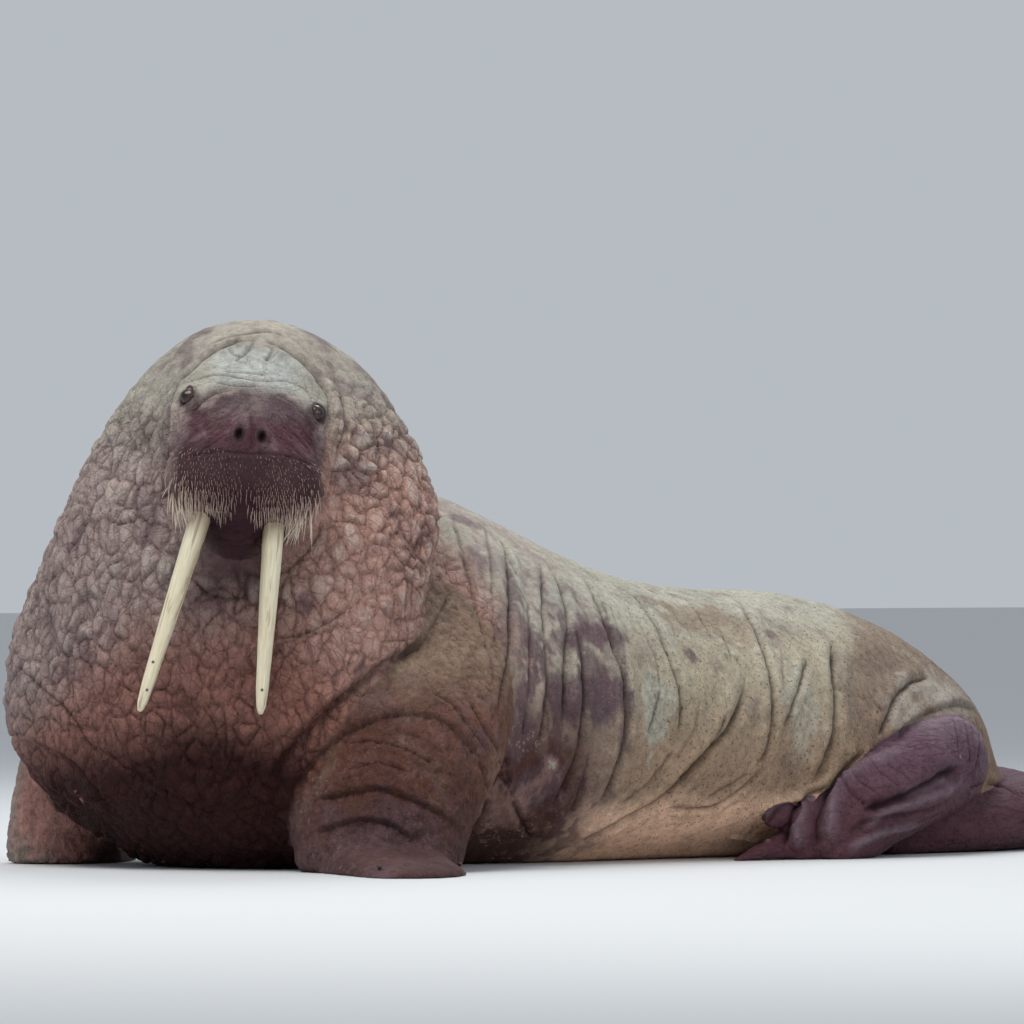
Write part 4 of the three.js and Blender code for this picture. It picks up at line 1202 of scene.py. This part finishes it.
def refined_copy(node, voxel, rounds):
    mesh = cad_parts[node].data.copy()
    mesh.materials.clear()
    shape = bmesh.new()
    shape.from_mesh(mesh)
    bmesh.ops.remove_doubles(shape, verts=shape.verts, dist=1e-6)
    shape.to_mesh(mesh)
    shape.free()
    mesh = with_modifier(mesh, "REMESH", mode="VOXEL", voxel_size=voxel)
    set_points(mesh, relax(points_of(mesh), edges_of(mesh), rounds, 0.5))
    shade_smooth(mesh)
    return mesh


def ivory_material():
    n = Nodes("ivory")
    place = n.place()
    lengthways = n.stretched(place, (1.0, 1.0, 0.06))
    grain = n.noise(lengthways, 260.0, 5.0)
    cracks = n.ramp(n.noise(lengthways, 120.0, 3.0), 0.60, 0.66)
    cloud = n.noise(place, 14.0, 3.0)
    stain_and_root_shade = n.add("ShaderNodeSeparateColor", {0: n.attribute("stain_and_root_shade", "Color")})
    colour = n.mix(n.ramp(grain, 0.35, 0.7), linear(232, 224, 200), linear(212, 200, 166))
    colour = n.mix(n.times(n.ramp(cloud, 0.4, 0.7), 0.3), colour, linear(200, 178, 134))
    colour = n.mix(n.times(cracks, 0.55), colour, linear(108, 82, 50))
    # brown stain along the inner side, and at the root a brown stain that is also painted shade; then dark
    # dots
    colour = n.mix(n.times(stain_and_root_shade.outputs[0], 0.85), colour, linear(122, 84, 46))
    colour = n.mix(stain_and_root_shade.outputs[1], colour, linear(30, 22, 18))
    n.link(colour, "Base Color")
    n.link(n.plus(n.times(grain, 0.25), 0.30), "Roughness")
    n.bump(n.minus(grain, cracks), 0.35, 0.0012)
    n.constant("Subsurface Weight", 0.06)
    n.constant("Subsurface Radius", (0.01, 0.006, 0.003))
    return n.material


IVORY = ivory_material()
TUSK_VOXEL = 0.0018
TUSK_ROOT = (0.070, -0.128, -0.200)
TUSK_LENGTH = {"left_tusk": 0.440, "right_tusk": 0.466}
FLUTE_DEPTH = 0.0011
NICK_DEPTH = 0.006
TUSK_SPLAY = {"left_tusk": math.radians(3.4), "right_tusk": math.radians(10)}
TUSK_DOTS = {"left_tusk": [(256, 604), (254, 640), (262, 690)], "right_tusk": [(153, 662), (147, 690)]}

for name, side in (("left_tusk", 1), ("right_tusk", -1)):
    mesh = refined_copy(name, TUSK_VOXEL, 14)
    root = HEAD @ Vector((side * TUSK_ROOT[0], TUSK_ROOT[1], TUSK_ROOT[2]))
    axis = Vector((side * math.sin(TUSK_SPLAY[name]), 0.055, -math.cos(TUSK_SPLAY[name])))
    axis = (HEAD_TURN @ axis).normalized()
    across = (HEAD_TURN @ Vector((side, 0, 0)))
    across = (across - axis * across.dot(axis)).normalized()
    matrix = Matrix((across, axis.cross(across), axis)).transposed().to_4x4()
    matrix.translation = root
    local = to_frame(points_of(mesh), matrix.inverted())
    share = np.clip(local[:, 2] / TUSK_LENGTH[name], 0, 1)
    angle = np.arctan2(local[:, 1], local[:, 0])
    ring = np.stack([np.cos(angle), np.sin(angle), local[:, 2] * 1.2], 1)
    flute = fractal(ring, 0.35, 201 + side, 3)
    nick = np.maximum(fractal(ring * np.array([1, 1, 9]), 0.5, 211 + side, 2) - 0.35, 0)
    radius = np.maximum(np.hypot(local[:, 0], local[:, 1]), 1e-6)
    push = FLUTE_DEPTH * flute - NICK_DEPTH * nick * smooth(0.15, 0.3, share)
    local[:, :2] *= (1 + push / radius)[:, None]
    stain_and_root_shade = np.zeros((len(local), 3))
    # a brown stain along the inner side, and at the root a brown stain that is also painted shade where the
    # pad meets the tusk
    inner = smooth(-0.3, 0.9, -np.cos(angle)) * (1 - smooth(0.05, 0.8, share))
    stain_and_root_shade[:, 0] = np.clip(0.75 * inner + 0.9 * (1 - smooth(0.05, 0.24, share)), 0, 1)
    stain_and_root_shade[:, 0] = np.clip(stain_and_root_shade[:, 0] * (0.7 + 0.6 * flute), 0, 1)
    world = to_frame(local, matrix)
    tree = surface_tree(world, mesh)
    for px, py in TUSK_DOTS[name]:
        where, _, _, _ = tree.ray_cast(CAMERA_AT, pixel_direction(px, py))
        if where is not None:
            d = np.linalg.norm(world - np.array(where), axis=1)
            stain_and_root_shade[:, 1] = np.maximum(stain_and_root_shade[:, 1], 1 - smooth(0.0015, 0.0045, d))
    set_points(mesh, local)
    set_colour(mesh, "stain_and_root_shade", stain_and_root_shade)
    tusk = add_object(name + "_piece", mesh)
    tusk.matrix_world = matrix
    mesh.materials.append(IVORY)
    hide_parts(name)
    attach(tusk, "root")


def horn_material():
    n = Nodes("horn")
    grain = n.noise(n.place(), 300.0, 4.0)
    n.link(n.mix(n.ramp(grain, 0.35, 0.7), linear(70, 58, 50), linear(36, 28, 26)), "Base Color")
    n.link(n.plus(n.times(grain, 0.3), 0.35), "Roughness")
    n.bump(grain, 0.4, 0.0008)
    return n.material


HORN = horn_material()
CLAW_VOXEL = 0.0011
for side_name in ("left", "right"):
    for i in range(1, 6):
        name = f"{side_name}_claw_{i}"
        mesh = refined_copy(name, CLAW_VOXEL, 6)
        claw = add_object(name + "_piece", mesh)
        mesh.materials.append(HORN)
        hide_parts(name)
        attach(claw, "root")


# eyes

def eye_material():
    """A dark iris with a black pupil, and a dark rim round it, by the distance from the eye's axis."""
    n = Nodes("eyeball")
    place = n.place()
    x_out, y_out, _ = n.add("ShaderNodeSeparateXYZ", {0: place}).outputs
    from_axis = n.math("POWER", n.plus(n.times(x_out, x_out), n.times(y_out, y_out)), 0.5)
    fibre = n.noise(place, 900.0, 3.0)
    iris = n.mix(n.ramp(fibre, 0.3, 0.7), linear(46, 28, 22), linear(22, 13, 12))
    white = n.mix(n.ramp(fibre, 0.45, 0.75), linear(64, 44, 42), linear(52, 28, 28))
    colour = n.mix(n.ramp(from_axis, 0.0118, 0.0132), iris, white)
    colour = n.mix(n.ramp(from_axis, 0.0062, 0.0052), colour, (0.003, 0.002, 0.002))
    n.link(colour, "Base Color")
    n.constant("Roughness", 0.16)
    n.constant("Specular IOR Level", 0.4)
    n.constant("Coat Weight", 0.12)
    n.constant("Coat Roughness", 0.02)
    return n.material


EYE = eye_material()
for side, centre, facing, along, up in EYES:
    shape, faces = ball((0, 0, 0), (EYE_RADIUS,) * 3, 48, 32)
    flat = np.hypot(shape[:, 0], shape[:, 1])
    shape[:, 2] += (shape[:, 2] > 0) * 0.0016 * (1 - smooth(0.006, 0.0125, flat))
    mesh = mesh_from_arrays("eye", shape, faces)
    shade_smooth(mesh)
    mesh.materials.append(EYE)
    name = "left_eye" if side > 0 else "right_eye"
    eye = add_object(name + "_piece", mesh)
    matrix = Matrix((along, up, facing)).transposed().to_4x4()
    matrix.translation = centre
    eye.matrix_world = matrix
    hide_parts(name)
    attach(eye, "root")


# whiskers: rows over each pad, longer and paler low down and towards its outer side

def bristle_material():
    n = Nodes("bristle")
    along = n.attribute("along", "Fac")
    streak = n.noise(n.place(), 80.0)
    tip = n.mix(n.attribute("pale", "Fac"), linear(156, 118, 110), linear(226, 210, 190))
    colour = n.mix(n.ramp(along, 0.0, 0.4), linear(104, 72, 70), tip)
    colour = n.mix(n.times(n.ramp(streak, 0.45, 0.7), 0.35), colour, linear(170, 138, 124))
    n.link(colour, "Base Color")
    n.constant("Roughness", 0.42)
    return n.material


BRISTLE = bristle_material()
WHISKER_ROWS = 22
WHISKERS_PER_ROW = 32
WHISKER_HALF = 0.0009
WHISKER_SECTIONS = 7
WHISKER_SIDES = 5
WHISKER_SUNK = 0.003
DOWN_FROM, DOWN_SPAN = -40, 98
OUT_FROM, OUT_SPAN = -56, 150
SCATTER = 1.2
PAD_INNER = 0.003
PAD_TOP = -0.108
OUTSIDE_PAD = 0.20
DOWN = Vector((0, 0, -1))
random = np.random.default_rng(7)

for side in (1, -1):
    points_out, faces_out, along_out, pale_out = [], [], [], []
    pad_centre = HEAD @ Vector((side * PAD_AT[0], PAD_AT[1], PAD_AT[2]))
    for r in range(WHISKER_ROWS):
        for k in range(WHISKERS_PER_ROW):
            row = r / (WHISKER_ROWS - 1)
            column = (k + 0.5 * (r % 2)) / (WHISKERS_PER_ROW - 0.5)
            down = math.radians(DOWN_FROM + DOWN_SPAN * row + random.uniform(-SCATTER, SCATTER))
            out = math.radians(OUT_FROM + OUT_SPAN * column + random.uniform(-SCATTER, SCATTER))
            direction = Vector((side * math.sin(out) * math.cos(down), -math.cos(out) * math.cos(down),
                                -math.sin(down)))
            start = pad_centre + (HEAD_TURN @ direction) * OUTSIDE_PAD
            where, normal, _, _ = SKIN_TREE.ray_cast(start, (pad_centre - start).normalized())
            if where is None:
                continue
            place = HEAD_INVERSE @ where
            if place.x * side < PAD_INNER or place.z > PAD_TOP:
                continue
            outer = float(smooth(0.35, 0.95, column))
            low_down = float(smooth(0.3, 0.95, row))
            if random.uniform(0, 1) < 0.55 * outer:
                continue
            length = 0.0075 + 0.008 * low_down + 0.032 * outer * low_down + 0.002 * outer
            length *= random.uniform(0.75, 1.2)
            turn = Vector(random.uniform(-0.10, 0.10, 3))
            along_skin = (DOWN - normal * normal.dot(DOWN)).normalized()
            first = (normal * (0.50 - 0.32 * outer) + along_skin * 0.85 + turn * 0.5).normalized()
            second = (normal * 0.10 + along_skin + DOWN * (0.3 + low_down) + turn).normalized()
            bow = first.cross(second)
            ref = bow.normalized() if bow.length > 1e-3 else normal.orthogonal().normalized()
            base = len(points_out)
            half = WHISKER_HALF * random.uniform(0.75, 1.1) * (0.8 + 0.7 * outer)
            for s in range(WHISKER_SECTIONS):
                t = s / (WHISKER_SECTIONS - 1)
                bent = first * (t - 0.5 * t * t) + second * (0.5 * t * t)
                centre = where - normal * WHISKER_SUNK + bent * (length * 1.6)
                along_dir = (first * (1 - t) + second * t).normalized()
                other = along_dir.cross(ref).normalized()
                width = half * (1 - 0.85 * t ** 1.5)
                for q in range(WHISKER_SIDES):
                    a = 2 * math.pi * q / WHISKER_SIDES
                    points_out.append(centre + ref * (width * math.cos(a))
                                      + other * (width * math.sin(a)))
                    along_out.append(t)
                    pale_out.append(min(1.0, 0.2 * outer + low_down * (0.45 + 0.55 * outer)))
            for s in range(WHISKER_SECTIONS - 1):
                for q in range(WHISKER_SIDES):
                    a = base + s * WHISKER_SIDES + q
                    b = base + s * WHISKER_SIDES + (q + 1) % WHISKER_SIDES
                    faces_out.append((a, b, b + WHISKER_SIDES, a + WHISKER_SIDES))
            faces_out.append(tuple(base + q for q in reversed(range(WHISKER_SIDES))))
            tip = base + (WHISKER_SECTIONS - 1) * WHISKER_SIDES
            faces_out.append(tuple(tip + q for q in range(WHISKER_SIDES)))
    mesh = mesh_from_arrays("whiskers", points_out, faces_out)
    for label, values in (("along", along_out), ("pale", pale_out)):
        layer = mesh.attributes.new(label, "FLOAT", "POINT")
        layer.data.foreach_set("value", np.array(values, np.float32))
    shade_smooth(mesh)
    mesh.materials.append(BRISTLE)
    piece = add_object("left_whiskers" if side > 0 else "right_whiskers", mesh)
    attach(piece, "root")
    print("whiskers", len(mesh.polygons))


# floor, light and camera

def floor_material():
    n = Nodes("floor")
    n.constant("Base Color", (0.62, 0.63, 0.64, 1))
    n.constant("Roughness", 0.9)
    return n.material


FLOOR_HALF = 60
floor_corners = [(a * FLOOR_HALF, b * FLOOR_HALF, 0) for a, b in ((-1, -1), (1, -1), (1, 1), (-1, 1))]
floor_mesh = mesh_from_arrays("floor", floor_corners, [(0, 1, 2, 3)])
floor_mesh.materials.append(floor_material())
floor = add_object("floor", floor_mesh)

world = bpy.data.worlds.new("studio")
bpy.context.scene.world = world
world.use_nodes = True
world.node_tree.nodes["Background"].inputs[0].default_value = (0.78, 0.84, 0.90, 1)
world.node_tree.nodes["Background"].inputs[1].default_value = 0.6


def area_light(name, at, aim, size, power, colour):
    data = bpy.data.lights.new(name, "AREA")
    data.shape = "DISK"
    data.size = size
    data.energy = power
    data.color = colour
    lamp = bpy.data.objects.new(name, data)
    bpy.context.scene.collection.objects.link(lamp)
    lamp.location = at
    lamp.rotation_euler = (Vector(aim) - Vector(at)).to_track_quat("-Z", "Y").to_euler()


area_light("key", (1.2, -3.6, 6.4), (0.1, -0.4, 0.3), 4.5, 330, (1.0, 0.98, 0.95))
area_light("fill", (6.0, -1.0, 3.0), (0.2, 0.0, 0.4), 4.0, 60, (0.95, 0.98, 1.0))
area_light("rim", (-2.5, 2.5, 5.5), (0.0, 0.2, 0.5), 4.0, 190, (0.95, 0.98, 1.0))
bpy.context.scene.view_settings.view_transform = "Standard"

camera_data = bpy.data.cameras.new("camera")
camera_data.sensor_width = SENSOR
camera_data.lens = FOCAL_PIXELS * SENSOR / IMAGE_SIZE
camera_data.clip_end = 200
camera = bpy.data.objects.new("camera", camera_data)
bpy.context.scene.collection.objects.link(camera)
camera.location = CAMERA_AT
camera.rotation_euler = Matrix((RIGHT, UP, -AHEAD)).transposed().to_euler()
bpy.context.scene.camera = camera
